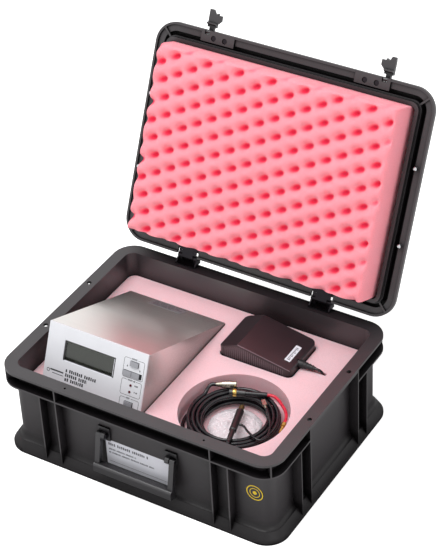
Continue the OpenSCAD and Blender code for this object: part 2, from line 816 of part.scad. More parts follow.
// Latches

latch_y = -lid_w / 2 + latch_pivot_in;
latch_z = lid_z + latch_pivot_rise;

module latch_blocks() color("#3a383c") lid_pose() both() difference() {
  span([latch_block_x[0], -lid_w / 2, lid_z],
       [latch_block_x[1], -lid_w / 2 + latch_block_y, lid_z + latch_block_t]);
  for (x = latch_screw_x) translate([x, -lid_w / 2 + latch_screw_in, lid_z - over]) {
    cylinder(r = latch_sink_r, h = latch_sink + over);
    cylinder(r = screw_shank_r + screw_play, h = latch_block_t + 2 * over);
  }
  span([latch_x - latch_neck / 2 - latch_slot_gap, -lid_w / 2 - over, lid_z - over],
       [latch_x + latch_neck / 2 + latch_slot_gap, latch_y + latch_barrel_r + latch_slot_gap,
        lid_z + latch_block_t + over]);
  translate([latch_block_x[0] + latch_block_y, latch_y, latch_z]) rotate([0, 90, 0])
    cylinder(r = latch_pin_r + play, h = latch_block_x[1] - latch_block_x[0]);
}

module latch_screws() color("#55555a") lid_pose() both() for (x = latch_screw_x)
  translate([x, -lid_w / 2 + latch_screw_in, lid_z + latch_sink]) {
    translate([0, 0, -latch_head_t]) cylinder(r = latch_head_r, h = latch_head_t);
    cylinder(r = screw_shank_r, h = latch_block_t - latch_sink);
  }

module latch_pins() color("silver") lid_pose() both()
  translate([latch_x - latch_body_w / 2 - latch_block_gap, latch_y, latch_z]) rotate([0, 90, 0])
    cylinder(r = latch_pin_r, h = latch_body_w + 2 * latch_block_gap);

// Latch from its pivot: x along the pin, p outwards, q up
module latch() {
  module side(w) {
    translate([-w / 2, 0, 0]) rotate([90, 0, 90]) linear_extrude(w) children();
  }
  difference() {
    union() {
      rotate([0, 90, 0]) cylinder(r = latch_barrel_r, h = latch_neck, center = true);
      side(latch_neck) polygon([
        [-latch_arm_half, 0], [latch_arm_half, 0], [latch_arm_half, latch_body_q[1]],
        [-latch_body_p[0] - over, latch_body_q[1]], [-latch_body_p[0] - over, latch_body_q[0]],
        [-latch_arm_half, latch_body_q[0]]
      ]);
      side(latch_body_w) polygon([
        [-latch_body_p[0], latch_body_q[0]], [-latch_body_p[0], latch_body_q[1]],
        [-latch_body_p[1] + latch_tip, latch_body_q[1]], [-latch_body_p[1], latch_body_q[1] - latch_arm_half],
        [-latch_body_p[1], latch_body_q[0]], [-latch_hook_p[1], latch_body_q[0]],
        [-latch_hook_p[1], latch_hook_q], [-latch_hook_p[0] - latch_arm_half, latch_hook_q],
        [-latch_hook_p[0], latch_body_q[0]]
      ]);
      span([-latch_body_w / 2 - latch_bump_w, -latch_bump_p[1], latch_body_q[0]],
           [-latch_body_w / 2 + over, -latch_bump_p[0], latch_body_q[1] - latch_arm_half]);
    }
    rotate([0, 90, 0]) cylinder(r = latch_pin_r + play, h = latch_body_w, center = true);
    translate([-latch_body_w / 2 - latch_bump_w, -latch_bump_p[0], latch_body_q[0] - over])
      rotate([0, 0, -45]) cube([2 * latch_cut, 2 * latch_cut, 2 * latch_body_q[1]], center = true);
    translate([-latch_body_w / 2, -latch_body_p[1], latch_body_q[0] - over])
      rotate([0, 0, 25]) cube([latch_body_w, 2 * latch_cut, 2 * latch_body_q[1]], center = true);
  }
}

module right_latch() color("#464448") lid_pose() translate([latch_x, latch_y, latch_z]) latch();

module left_latch() color("#464448") lid_pose() mirror([1, 0, 0])
  translate([latch_x, latch_y, latch_z]) latch();

// Carrying handle

handle_y = -wall_w / 2 - handle_out;
arm_x = handle_w / 2 - arm_w;
lug_x = arm_x - handle_play - lug_w;

module handle_brackets() color("#2c2a2e") both() difference() {
  union() {
    span([lug_x - arm_w / 2, -wall_w / 2 - bracket_t, handle_z - bracket_h / 2],
         [lug_x - arm_w / 2 + bracket_w, -wall_w / 2, handle_z + bracket_h / 2]);
    span([lug_x, handle_y, handle_z - lug_r], [lug_x + lug_w, -wall_w / 2 - bracket_t + over, handle_z + lug_r]);
    translate([lug_x, handle_y, handle_z]) rotate([0, 90, 0]) cylinder(r = lug_r, h = lug_w);
  }
  translate([lug_x - over, handle_y, handle_z]) rotate([0, 90, 0])
    cylinder(r = handle_pin_r + play, h = lug_w + 2 * over);
  translate([lug_x + lug_w, handle_y, handle_z]) rotate([0, 90, 0])
    cylinder(r = arm_r + 2 * handle_play, h = 2 * arm_w);
}

module handle_pins() color("silver") both() translate([lug_x, handle_y, handle_z]) rotate([0, 90, 0]) {
  cylinder(r = handle_pin_r, h = handle_w / 2 - lug_x);
  translate([0, 0, -pin_head_t]) cylinder(r = pin_head_r, h = pin_head_t);
}

// Grip from the pivot: a bar with round edges, hollow on the side that faces the wall
module grip(l) {
  translate([0, -grip_offset, -handle_drop]) rotate([90, 0, 90]) linear_extrude(l, center = true) {
    square([grip_t - 2 * arm_r, grip_h], center = true);
    square([grip_t, grip_h - 2 * arm_r], center = true);
    for (sy = [-1, 1], sz = [-1, 1])
      translate([sy * (grip_t / 2 - arm_r), sz * (grip_h / 2 - arm_r)]) circle(arm_r);
  }
}

module handle() color("#4a484c") translate([0, handle_y, handle_z]) {
  both() difference() {
    union() {
      translate([arm_x, 0, 0]) rotate([0, 90, 0]) cylinder(r = arm_r, h = arm_w);
      translate([arm_x, 0, 0]) rotate([90, 0, 90]) linear_extrude(arm_w) polygon([
        [arm_r, 0], [-arm_r, 0], [-grip_offset - arm_t / 2, -handle_drop], [-grip_offset + arm_t / 2, -handle_drop]
      ]);
    }
    translate([arm_x - over, 0, 0]) rotate([0, 90, 0])
      cylinder(r = handle_pin_r + play, h = arm_w + 2 * over);
  }
  difference() {
    grip(handle_w);
    translate([0, -grip_offset + grip_t / 2, -handle_drop])
      cube([handle_w - 2 * arm_w, 2 * (grip_t - grip_front_t), grip_h - 2 * grip_wall], center = true);
  }
}

// Meter: on_panel places a child with x across, y into the meter and z up the panel

module on_panel() {
  translate([meter_x, panel_top_y, panel_top_z]) rotate([-slope, 0, 0]) children();
}

// Side outline of the meter, from a front line at depth v and a top line sunk by t
module wedge_side(v, t, end) {
  c = cos(slope);
  s = sin(slope);
  front_top = [panel_top_y + v * c - t * s, panel_top_z - v * s - t * c];
  rear_z = cover_end_z + (cover_end_y - end) * s / c - t / c;
  front_low = front_top[0] - (front_top[1] - meter_z) * s / c;
  polygon([front_top, [end, rear_z], [end, meter_z], [front_low, meter_z]]);
}

module wedge(v, t, end, x, w) {
  translate([meter_x + x, 0, 0]) rotate([90, 0, 90]) linear_extrude(w) wedge_side(v, t, end);
}

module meter_cover() color("#c9c2be") difference() {
  wedge(panel_t + seam, 0, cover_end_y, 0, meter_w);
  translate([0, 0, -over]) difference() {
    wedge(panel_t - over, 0, cover_end_y + over, sheet_t, meter_w - 2 * sheet_t);
    on_panel() span([-over, -over, over - sheet_t / cos(slope)], [meter_w + over, cover_l + 2 * over, panel_h]);
  }
  for (x = [-over, meter_w - sheet_t - over], v = screw_side_y)
    translate([meter_x + x, meter_y + v + tray_lip, meter_z + screw_side_z]) rotate([0, 90, 0])
      cylinder(r = side_screw_r + side_screw_gap, h = sheet_t + 2 * over);
}

tray_x = sheet_t + tray_gap;
tray_w = meter_w - 2 * tray_x;
rear_y = cover_end_y - rear_in;
tray_y = meter_y + panel_t / cos(slope) + sheet_t * tan(slope) + seam;

module meter_chassis() color("#b9bcc0") {
  span([meter_x + tray_x, tray_y, meter_z], [meter_x + tray_x + tray_w, cover_end_y - tray_gap, meter_z + sheet_t]);
  for (x = [tray_x, tray_x + tray_w - sheet_t])
    difference() {
      span([meter_x + x, tray_y + tray_lip, meter_z],
           [meter_x + x + sheet_t, rear_y - tray_gap, meter_z + screw_side_z + tray_lip / 2]);
      for (v = screw_side_y)
        translate([meter_x + x - over, meter_y + v + tray_lip, meter_z + screw_side_z]) rotate([0, 90, 0])
          cylinder(r = screw_shank_r + screw_play, h = sheet_t + 2 * over);
    }
}

module rear_panel() color("#d6d6da") difference() {
  wedge(panel_t + seam + over, sheet_t + tray_gap, rear_y + sheet_t, tray_x, tray_w);
  span([meter_x - over, meter_y - over, meter_z - over], [meter_x + meter_w + over, rear_y, panel_top_z + over]);
  span([meter_x - over, rear_y - over, meter_z - over],
       [meter_x + meter_w + over, cover_end_y, meter_z + sheet_t + fit_gap]);
  translate([meter_x + input_at[0], rear_y - over, meter_z + input_at[1]]) rotate([-90, 0, 0])
    cylinder(r = input_r + fit_gap, h = sheet_t + 2 * over);
  translate([meter_x + power_at[0], rear_y - over, meter_z + power_at[1]]) rotate([-90, 0, 0])
    cylinder(r = power_r + fit_gap, h = sheet_t + 2 * over);
}

// Opening in the panel, from u and w of its corner
module panel_hole(at, size, gap) {
  span([at[0] - gap, -over, -at[1] - size[1] - gap], [at[0] + size[0] + gap, panel_t + over, -at[1] + gap]);
}

module front_panel() color("#e6e6ea") on_panel() difference() {
  span([0, 0, -panel_h + sheet_t], [meter_w, panel_t, 0]);
  panel_hole([display_u[0], display_w[0]],
             [display_u[1] - display_u[0], display_w[1] - display_w[0]], 0);
  panel_hole(upper_button_at, button_size, button_hole_gap);
  panel_hole(lower_button_at, button_size, button_hole_gap);
  panel_hole(switch_at, switch_size + [switch_travel, 0], button_hole_gap);
  for (p = lamps_at) translate([p[0], -over, -p[1]]) rotate([-90, 0, 0])
    cylinder(r = lamp_r + fit_gap, h = panel_t + 2 * over);
}

module display_bezel() color("#1c1c20") on_panel() difference() {
  span([display_u[0] + fit_gap, bezel_sink, -display_w[1] + fit_gap],
       [display_u[1] - fit_gap, panel_t, -display_w[0] - fit_gap]);
  span([display_u[0] + bezel_edge[0], 0, -display_w[1] + bezel_edge[1]],
       [display_u[1] - bezel_edge[0], panel_t + over, -display_w[0] - bezel_edge[1]]);
}

module display_window() color("#4a4d45") on_panel()
  span([display_u[0] + bezel_edge[0] + fit_gap, panel_t - window_t, -display_w[1] + bezel_edge[1] + fit_gap],
       [display_u[1] - bezel_edge[0] - fit_gap, panel_t, -display_w[0] - bezel_edge[1] - fit_gap]);

module display_module() color("#33342f") on_panel()
  span([display_u[0] - module_edge[0], panel_t + fit_gap, -display_w[1] - module_edge[1]],
       [display_u[1] + module_edge[0], panel_t + module_t, -display_w[0] + module_edge[1]]);

module display_board() color("#2f6b45") on_panel() {
  span([board_u[0], board_v, -board_w_span[1]], [board_u[1], board_v + board_t, -board_w_span[0]]);
  span([display_u[0], panel_t + module_t + fit_gap, -display_w[1]], [display_u[1], board_v + over / 2, -display_w[0]]);
  for (at = [upper_button_at, lower_button_at])
    translate([at[0] + button_size[0] / 2, board_v - switch_body[2] / 2 + play, -at[1] - button_size[1] / 2])
      cube([switch_body[0], switch_body[2], switch_body[1]], center = true);
}

module board_standoffs() color("#c8b878") on_panel()
  for (u = [board_u[0] + standoff_in[0], board_u[1] - standoff_in[0]],
       w = [board_w_span[0] + standoff_in[1] / 2, board_w_span[1] - standoff_in[1]])
    translate([u, panel_t, -w]) rotate([-90, 0, 0]) cylinder(r = standoff_r, h = board_v - panel_t);

module push_button(at) {
  on_panel() {
    span([at[0], -button_out, -at[1] - button_size[1]], [at[0] + button_size[0], panel_t + fit_gap, -at[1]]);
    span([at[0] - button_flange, panel_t + fit_gap, -at[1] - button_size[1] - button_flange],
         [at[0] + button_size[0] + button_flange, panel_t + fit_gap + button_flange_t, -at[1] + button_flange]);
    translate([at[0] + button_size[0] / 2, panel_t + fit_gap, -at[1] - button_size[1] / 2]) rotate([-90, 0, 0])
      cylinder(r = stem_r, h = board_v - switch_body[2] - button_travel - 2 * fit_gap - panel_t);
  }
}

module upper_button() color("#a8a8ac") push_button(upper_button_at);

module lower_button() color("#a8a8ac") push_button(lower_button_at);

module slide_switch() color("#9c9ca0") on_panel() {
  half = switch_size[0] / 2;
  span([switch_at[0], -switch_out, -switch_at[1] - switch_size[1]],
       [switch_at[0] + half, panel_t + fit_gap, -switch_at[1]]);
  span([switch_at[0] + half, -switch_out + switch_step, -switch_at[1] - switch_size[1]],
       [switch_at[0] + switch_size[0], panel_t + fit_gap, -switch_at[1]]);
  span([switch_at[0] - button_flange, panel_t + fit_gap, -switch_at[1] - switch_size[1] - button_flange],
       [switch_at[0] + switch_size[0] + button_flange, panel_t + fit_gap + button_flange_t,
        -switch_at[1] + button_flange]);
}

module indicator_lamps() color("#5a2a30") on_panel() for (p = lamps_at)
  translate([p[0], 0, -p[1]]) rotate([-90, 0, 0]) {
    translate([0, 0, -lamp_out]) cylinder(r = lamp_r, h = lamp_out + panel_t);
    translate([0, 0, panel_t]) cylinder(r = lamp_flange_r, h = board_v - panel_t);
  }

module main_board() color("#2f6b45") translate([meter_x, meter_y, meter_z + sheet_t]) {
  top = pillar_h + main_size[2];
  difference() {
    span([main_at[0], main_at[1], pillar_h], [main_at[0] + main_size[0], main_at[1] + main_size[1], top]);
    for (x = [pillar_in, main_size[0] - pillar_in], y = [pillar_in, main_size[1] - pillar_in])
      translate([main_at[0] + x, main_at[1] + y, pillar_h - over])
        cylinder(r = screw_shank_r, h = main_size[2] + 2 * over);
  }
}

module main_board_pillars() color("#c8b878") translate([meter_x, meter_y, meter_z + sheet_t])
  for (x = [pillar_in, main_size[0] - pillar_in], y = [pillar_in, main_size[1] - pillar_in])
    translate([main_at[0] + x, main_at[1] + y, 0]) cylinder(r = pillar_r, h = pillar_h);

module input_shield() color("#b4b6ba")
  translate([meter_x + shield_at[0], meter_y + shield_at[1], meter_z + sheet_t + pillar_h + main_size[2]])
    cube(shield_size);

module input_socket() color("silver")
  translate([meter_x + input_at[0], rear_y, meter_z + input_at[1]]) rotate([-90, 0, 0]) difference() {
    union() {
      translate([0, 0, sheet_t]) cylinder(r = input_flange_r, h = input_flange_t);
      translate([0, 0, -input_l / 2]) cylinder(r = input_r, h = input_l / 2 + sheet_t + input_l);
      translate([0, 0, sheet_t + input_l - 3 * input_lug_r]) rotate([0, 90, 0])
        cylinder(r = input_lug_r, h = 2 * (input_r + input_lug_r), center = true);
    }
    translate([0, 0, sheet_t + input_flange_t]) cylinder(r = input_bore_r, h = input_l);
  }

module power_socket() color("#222226")
  translate([meter_x + power_at[0], rear_y, meter_z + power_at[1]]) rotate([-90, 0, 0]) {
    difference() {
      union() {
        translate([-power_size[0] / 2, -power_size[1] / 2, sheet_t]) cube(power_size);
        translate([0, 0, -power_l]) cylinder(r = power_r, h = power_l + sheet_t + over);
      }
      translate([0, 0, -power_l + over]) cylinder(r = power_bore_r, h = 2 * power_l);
    }
    translate([0, 0, -power_l]) cylinder(r = power_pin_r, h = power_l + sheet_t + over);
  }

module meter_feet() color("#1e1e20")
  for (x = [foot_in, meter_w - foot_in], y = [meter_y + foot_in, cover_end_y - foot_in])
    translate([meter_x + x, y, meter_z - foot_h]) cylinder(r = foot_r, h = foot_h);

module cover_screws() color("#77777c") for (s = [0, 1], v = screw_side_y)
  translate([meter_x + s * meter_w, meter_y + v + tray_lip, meter_z + screw_side_z])
    rotate([0, s == 0 ? 90 : -90, 0]) {
      cylinder(r = side_screw_r, h = sheet_t);
      cylinder(r = screw_shank_r, h = sheet_t + tray_gap + screw_shank_l);
    }

// Adapter: child coordinates start at its lower left front corner, on the pad

module at_adapter() {
  translate([adapter_x, adapter_y, pad_top]) children();
}

// Block of the adapter shrunk by a wall all round
module adapter_block(t) {
  ridge = adapter_l * adapter_ridge_share;
  intersection() {
    translate([0, adapter_w - t, 0]) rotate([90, 0, 0]) linear_extrude(adapter_w - 2 * t) polygon([
      [t, seat + t], [adapter_l - t, seat + t], [adapter_l - t, adapter_ends[1] - t - adapter_edge],
      [adapter_l - t - adapter_edge, adapter_ends[1] - t], [ridge, adapter_h - t],
      [t + adapter_edge, adapter_ends[0] - t], [t, adapter_ends[0] - t - adapter_edge]
    ]);
    translate([adapter_l / 2, adapter_w / 2, 0])
      plate(adapter_l - 2 * t, adapter_w - 2 * t, adapter_r - t, adapter_h);
  }
}

module side_ribs() {
  for (y = [0, adapter_w], i = [0:rib_count - 1])
    span([rib_from + i * rib_pitch, y - rib_d, rib_margin],
         [rib_from + i * rib_pitch + rib_w, y + rib_d, adapter_ends[1] - rib_margin]);
}

module adapter_top() color("#2a2224") at_adapter() difference() {
  adapter_block(0);
  difference() {
    adapter_block(adapter_wall);
    translate([0, 0, -over]) cube([adapter_wall, adapter_w, adapter_split]);
  }
  span([-over, -over, 0], [adapter_l + over, adapter_w + over, adapter_split]);
  side_ribs();
  translate([adapter_l - adapter_wall - over, relief_y, relief_z]) rotate([0, 90, 0])
    cylinder(r = relief_r[0] + fit_gap, h = adapter_wall + 2 * over);
}

module adapter_bottom() color("#262022") at_adapter() difference() {
  adapter_block(0);
  adapter_block(adapter_wall);
  span([-over, -over, adapter_split], [adapter_l + over, adapter_w + over, adapter_h + over]);
  side_ribs();
  translate([-over, inlet_at[0] - fit_gap, inlet_at[1] - fit_gap])
    cube([adapter_wall + 2 * over, inlet_size[1] + 2 * fit_gap, inlet_size[2] + 2 * fit_gap]);
}

module adapter_transformer() color("#8a6a3a") at_adapter() {
  base = seat + adapter_wall;
  translate([core_at[0], core_at[1], base]) cube(core_size);
  span([core_at[0] + core_size[0] / 4, core_at[1] - core_at[1] / 2, base + core_gap],
       [core_at[0] + core_size[0] * 3 / 4, core_at[1] + core_size[1] + core_at[1] / 2, base + core_size[2] - core_gap]);
}

// The inlet's two round holes or pins
module inlet_twin(from, to, r) {
  for (s = [-1, 1])
    translate([from, inlet_size[1] / 2 + s * inlet_pin_half, inlet_size[2] / 2])
      rotate([0, 90, 0]) cylinder(r = r, h = to - from);
}

module adapter_inlet() color("#1a1a1c") at_adapter() translate([0, inlet_at[0], inlet_at[1]]) {
  difference() {
    cube(inlet_size);
    inlet_twin(-over, inlet_size[0] - over, inlet_well_r);
    span([-over, inlet_size[1] / 2 - inlet_pin_half, inlet_size[2] / 2 - inlet_waist],
         [inlet_size[0] - over, inlet_size[1] / 2 + inlet_pin_half, inlet_size[2] / 2 + inlet_waist]);
  }
  inlet_twin(over, inlet_size[0] - over / 2, inlet_pin_r);
}

module adapter_strain_relief() color("#201c1e") at_adapter()
  translate([adapter_l - adapter_wall, relief_y, relief_z]) rotate([0, 90, 0]) difference() {
    l = relief_l + adapter_wall;
    union() {
      rotate_extrude() polygon([
        [0, 0], [relief_r[0], 0], [relief_r[0], adapter_wall + over], [relief_r[1], l], [0, l]
      ]);
      for (i = [1:relief_ribs]) {
        share = i / (relief_ribs + 1);
        translate([0, 0, adapter_wall + share * relief_l])
          cylinder(r = relief_r[0] + (relief_r[1] - relief_r[0]) * share + relief_rib_r, h = relief_rib_w);
      }
    }
    translate([0, 0, l - relief_rib_w]) cylinder(r = lead_d / 2 + lead_play, h = over + relief_rib_w);
  }

module adapter_lead() color("#17151a") at_adapter()
  tube(route(concat([adapter_route[0] - [relief_rib_w, 0, 0]], adapter_route, [lead_coil_points[0]]), 3),
       lead_d / 2, 8, [0, 1, 0.2]);

lead_coil_points = concat(
  [for (p = coil(lead_coil_r, lead_coil_pitch, lead_coil_rise, lead_coil_loops, 2, 270, lead_d))
    p + [lead_coil_at[0], lead_coil_at[1], lead_coil_z]],
  [[lead_coil_at[0] + lead_tail, lead_coil_at[1] + lead_coil_r, lead_coil_z + lead_coil_rise]]);

module adapter_lead_coil() color("#17151a") at_adapter()
  tube(lead_coil_points, lead_d / 2, 6, [0, 0, 1]);

module adapter_plug() color("#141216") at_adapter()
  translate([lead_coil_at[0] + lead_tail, lead_coil_at[1] + lead_coil_r, lead_coil_z + lead_coil_rise])
    rotate([0, 90, 0]) {
      cylinder(r1 = lead_d / 2 + lead_play, r2 = dc_plug_r, h = dc_plug_r);
      translate([0, 0, dc_plug_r]) cylinder(r = dc_plug_r, h = dc_plug_l - dc_plug_r - dc_pin_l);
      translate([0, 0, dc_plug_l - dc_pin_l]) cylinder(r = dc_pin_r, h = dc_pin_l);
    }

// Measuring cable: child coordinates start at the round pocket's centre, on the pad

module at_pocket() {
  translate([pocket_x, pocket_y, pad_top]) children();
}

coax_points = concat(
  [for (p = coil(coil_r, coil_pitch, coil_rise, coil_loops, 4, coil_start, coax_d)) p + [0, 0, coil_z]],
  coax_tail);
echo(coax_gap = self_gap(coax_points, coax_d));
echo(lead_coil_gap = self_gap(lead_coil_points, lead_d));

module coax_coil() color("#141218") at_pocket() tube(coax_points, coax_d / 2, 6, [0, 0, 1]);

module coax_lead() color("#141218") at_pocket()
  tube(route(concat([probe_tail, probe_tail - coax_d * unit(probe_dir)], coax_route,
                    [2 * coax_points[0] - coax_points[1], coax_points[0]]), 3), coax_d / 2, 8, [0, 0, 1]);

module coax_connector() color("#c8c4bc") at_pocket()
  aim(end_of(coax_tail), end_dir(coax_tail)) {
    boot = connector_l * 0.3;
    cylinder(r1 = coax_d / 2, r2 = connector_r * 0.8, h = boot);
    translate([0, 0, boot]) difference() {
      union() {
        cylinder(r = connector_r * 0.9, h = connector_l - boot);
        translate([0, 0, boot / 2]) cylinder(r = connector_r, h = connector_l / 3);
      }
      translate([0, 0, connector_l / 3]) cylinder(r = connector_r * 0.7, h = connector_l);
    }
  }

probe_dir = probe_end - probe_tail;
probe_l = norm(probe_dir);

module probe_handle() color("#18161a") at_pocket() aim(probe_tail, probe_dir)
  rotate_extrude() polygon([
    [0, 0], [probe_r[0], 0], [probe_r[1], probe_l * probe_shares[0]],
    [probe_r[1], probe_l * probe_shares[1]], [probe_r[2], probe_l * probe_shares[1] + over],
    [probe_r[3], probe_l * probe_shares[2]], [0, probe_l * probe_shares[2]]
  ]);

module probe_tip() color("#a08850") at_pocket() aim(probe_tail + probe_dir * probe_shares[2], probe_dir)
  rotate_extrude() polygon([
    [0, 0], [probe_tip_r, 0], [probe_tip_r, probe_tip_l - over], [probe_tip_r - over, probe_tip_l],
    [probe_point_r, probe_tip_l], [0, probe_tip_l + probe_point_l]
  ]);

module earth_lead() color("#1a181c") at_pocket()
  tube(route(earth_route, 3), earth_d / 2, 8, [0, 0, 1]);

module earth_clip() color("#8c8a86") at_pocket() translate(end_of(earth_route))
  rotate([0, 0, clip_dir_angle]) {
    rotate([0, 90, 0]) cylinder(r = earth_d / 2 + lead_play, h = clip_size[0] / 3);
    span([clip_size[0] / 3, -clip_size[1] / 2, -clip_size[2] / 2],
         [clip_size[0], clip_size[1] / 2, clip_size[2] / 2]);
  }

module lead_plug() color("#b49a58") at_pocket() aim(plug_from, sleeve_to - plug_from) {
  cylinder(r = plug_r, h = plug_l);
  translate([0, 0, plug_l / 2 - plug_ring_w / 2]) cylinder(r = plug_ring_r, h = plug_ring_w);
}

module lead_sleeve() color("#141216") at_pocket() aim(plug_from, sleeve_to - plug_from)
  translate([0, 0, plug_l]) cylinder(r = sleeve_r, h = norm(sleeve_to - plug_from) - plug_l);

module red_lead() color("#d8203c") at_pocket()
  tube(route(concat([sleeve_to, sleeve_to + red_d * unit(sleeve_to - plug_from)], red_route), 3),
       red_d / 2, 8, [0, 0, 1]);

module red_lead_end() color("#b49a58") at_pocket()
  aim(end_of(red_route), end_dir(red_route)) {
    cylinder(r = red_end_r, h = red_end_l / 3);
    cylinder(r = red_d / 2, h = red_end_l);
  }

module accessory_bag() color("#d8d0dc") at_pocket() translate([0, 0, seat]) rotate_extrude()
  polygon([
    [0, 0], [bag_r, 0], [bag_r, bag_h - 2 * bag_crown],
    for (a = [30:30:90]) [bag_r * cos(a), bag_h - 2 * bag_crown + 2 * bag_crown * sin(a)]
  ]);

base_shell();
foam_pad();
cut_foam();
base_hinge_leaves();
lid_hinge_leaves();
hinge_pins();
base_hinge_screws();
lid_hinge_screws();
lid_shell();
lid_foam();
locating_pins();
latch_blocks();
latch_screws();
latch_pins();
left_latch();
right_latch();
handle_brackets();
handle_pins();
handle();
meter_cover();
meter_chassis();
rear_panel();
front_panel();
display_bezel();
display_window();
display_module();
display_board();
board_standoffs();
upper_button();
lower_button();
slide_switch();
indicator_lamps();
main_board();
main_board_pillars();
input_shield();
input_socket();
power_socket();
meter_feet();
cover_screws();
adapter_top();
adapter_bottom();
adapter_transformer();
adapter_inlet();
adapter_strain_relief();
adapter_lead();
adapter_lead_coil();
adapter_plug();
coax_coil();
coax_lead();
coax_connector();
probe_handle();
probe_tip();
earth_lead();
earth_clip();
lead_plug();
lead_sleeve();
red_lead();
red_lead_end();
accessory_bag();
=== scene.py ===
"""Looks of an electrostatic voltmeter kit in its carrying case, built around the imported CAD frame."""

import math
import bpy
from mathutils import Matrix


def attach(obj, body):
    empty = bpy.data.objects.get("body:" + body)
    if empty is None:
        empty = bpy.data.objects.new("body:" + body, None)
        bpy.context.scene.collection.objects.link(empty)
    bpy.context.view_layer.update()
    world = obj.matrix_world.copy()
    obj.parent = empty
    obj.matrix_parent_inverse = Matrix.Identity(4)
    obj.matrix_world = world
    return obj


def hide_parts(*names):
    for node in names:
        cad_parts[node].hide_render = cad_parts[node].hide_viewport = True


bl_info = {
    "name": "Electrostatic voltmeter kit",
    "version": (1, 0, 0),
    "blender": (4, 5, 0),
    "location": "View3D > Sidebar > Voltmeter",
    "description": "Builds the case, the foam, the meter, the adapter and the cables of a voltmeter kit",
    "category": "Add Mesh",
}

import bpy
from bpy.props import FloatProperty, FloatVectorProperty, IntProperty, PointerProperty
from mathutils import Matrix, Vector, noise

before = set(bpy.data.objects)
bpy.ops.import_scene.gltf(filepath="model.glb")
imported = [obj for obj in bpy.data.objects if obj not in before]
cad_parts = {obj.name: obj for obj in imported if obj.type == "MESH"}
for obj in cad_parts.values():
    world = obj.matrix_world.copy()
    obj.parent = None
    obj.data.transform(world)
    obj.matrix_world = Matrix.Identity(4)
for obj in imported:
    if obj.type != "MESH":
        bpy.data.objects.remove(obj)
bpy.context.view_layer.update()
MM = 0.001

# Places that part.scad works out, in millimetres. METER is the meter's top front left corner.
METER = Vector((-161.7, -77.08, 168.37))
SLOPE = math.radians(22.8)
ACROSS = Vector((1, 0, 0))
PANEL_OUT = Vector((0, -math.cos(SLOPE), math.sin(SLOPE)))
COVER_UP = Vector((0, math.sin(SLOPE), math.cos(SLOPE)))
HINGE = Vector((0, 151.2, 137.5))
LID_OPEN = math.radians(114.5)
LID_Z = 130.3
ADAPTER = Vector((8, 43, 64))
POCKET = Vector((81.7, -43.2, 64))
WALL_Y = -137.0

# The photograph's camera and the lamps, in metres
CAMERA_PLACE = Vector((1.0729, -1.5934, 1.7085))
CAMERA_VIEW = Vector((-0.4298, 0.6669, -0.6088))
CAMERA_TURN = math.radians(32.8)
CAMERA_ROLL = math.radians(-3.1)
KEY_PLACE = Vector((-0.4, -0.4, 2.1))
FILL_PLACE = Vector((1.6, -1.0, 1.2))
LAMP_AIM = Vector((0, 0, 0.1))
LAMP_SIZE = 1.2


# Shared helpers


def linear(code):
    """Linear colour of an sRGB hex value."""
    parts = [int(code[i : i + 2], 16) / 255 for i in (1, 3, 5)]
    return tuple(c / 12.92 if c <= 0.04045 else ((c + 0.055) / 1.055) ** 2.4 for c in parts)


def add(tree, kind, inputs=None, **settings):
    """Adds a shader node, sets it, and links or sets its inputs. A node given as an input stands for its
    first output."""
    made = tree.nodes.new(kind)
    for key, value in settings.items():
        setattr(made, key, value)
    for key, value in (inputs or {}).items():
        if isinstance(value, bpy.types.Node):
            value = value.outputs[0]
        if isinstance(value, bpy.types.NodeSocket):
            tree.links.new(value, made.inputs[key])
        else:
            made.inputs[key].default_value = value
    return made


def pick(piece):
    """Leaves one piece selected and active."""
    bpy.ops.object.select_all(action="DESELECT")
    piece.hide_set(False)
    piece.select_set(True)
    bpy.context.view_layer.objects.active = piece


def new_piece(name, points=(), faces=()):
    """A mesh piece at the origin, from points in metres."""
    mesh = bpy.data.meshes.new(name)
    mesh.from_pydata([tuple(p) for p in points], [], [tuple(f) for f in faces])
    mesh.update()
    piece = bpy.data.objects.new(name, mesh)
    bpy.context.scene.collection.objects.link(piece)
    pick(piece)
    return piece


def named(name):
    """The primitive that was added last, with its name."""
    piece = bpy.context.object
    piece.name = piece.data.name = name
    return piece


def place_with(piece, matrix):
    """Moves a piece by a matrix and applies it to the mesh."""
    pick(piece)
    piece.matrix_world = matrix
    bpy.ops.object.transform_apply(location=True, rotation=True, scale=True)
    return piece


def modify(piece, kind, **settings):
    """Adds a modifier to a piece, sets it and applies it."""
    pick(piece)
    bpy.ops.object.modifier_add(type=kind)
    made = piece.modifiers[-1]
    for key, value in settings.items():
        setattr(made, key, value)
    bpy.ops.object.modifier_apply(modifier=made.name)


def round_edges(piece, width, segments=2, angle=30, edge=-1):
    """Rounds the sharp edges by a width in millimetres, as a mould or a press leaves them."""
    settings = {"limit_method": "ANGLE", "miter_outer": "MITER_ARC", "angle_limit": math.radians(angle)}
    modify(piece, "BEVEL", width=width * MM, segments=segments, material=edge, **settings)


def shade(piece, angle=35):
    """Smooth shading over edges that turn by less than an angle."""
    pick(piece)
    bpy.ops.object.shade_smooth_by_angle(angle=math.radians(angle))


def own_copy(name, node, body, look, slot, width=0.4, segments=2, angle=30, edge=-1):
    """A node's own shape as a piece of its own, with its sharp edges rounded. Where edge is a slot's
    number, the rounded edges take that slot's finish."""
    piece = new_piece(name)
    piece.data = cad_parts[node].data.copy()
    piece.data.name = name
    piece.data.materials.clear()
    pick(piece)
    if piece.data.has_custom_normals:
        bpy.ops.mesh.customdata_custom_splitnormals_clear()
    bpy.ops.object.mode_set(mode="EDIT")
    bpy.ops.mesh.select_all(action="SELECT")
    bpy.ops.mesh.remove_doubles(threshold=2e-6)
    bpy.ops.mesh.dissolve_limited(angle_limit=math.radians(0.5))
    bpy.ops.object.mode_set(mode="OBJECT")
    round_edges(piece, width, segments, angle, edge)
    shade(piece)
    modify(piece, "WEIGHTED_NORMAL", keep_sharp=True)
    return settle(piece, body, look, slot, node)


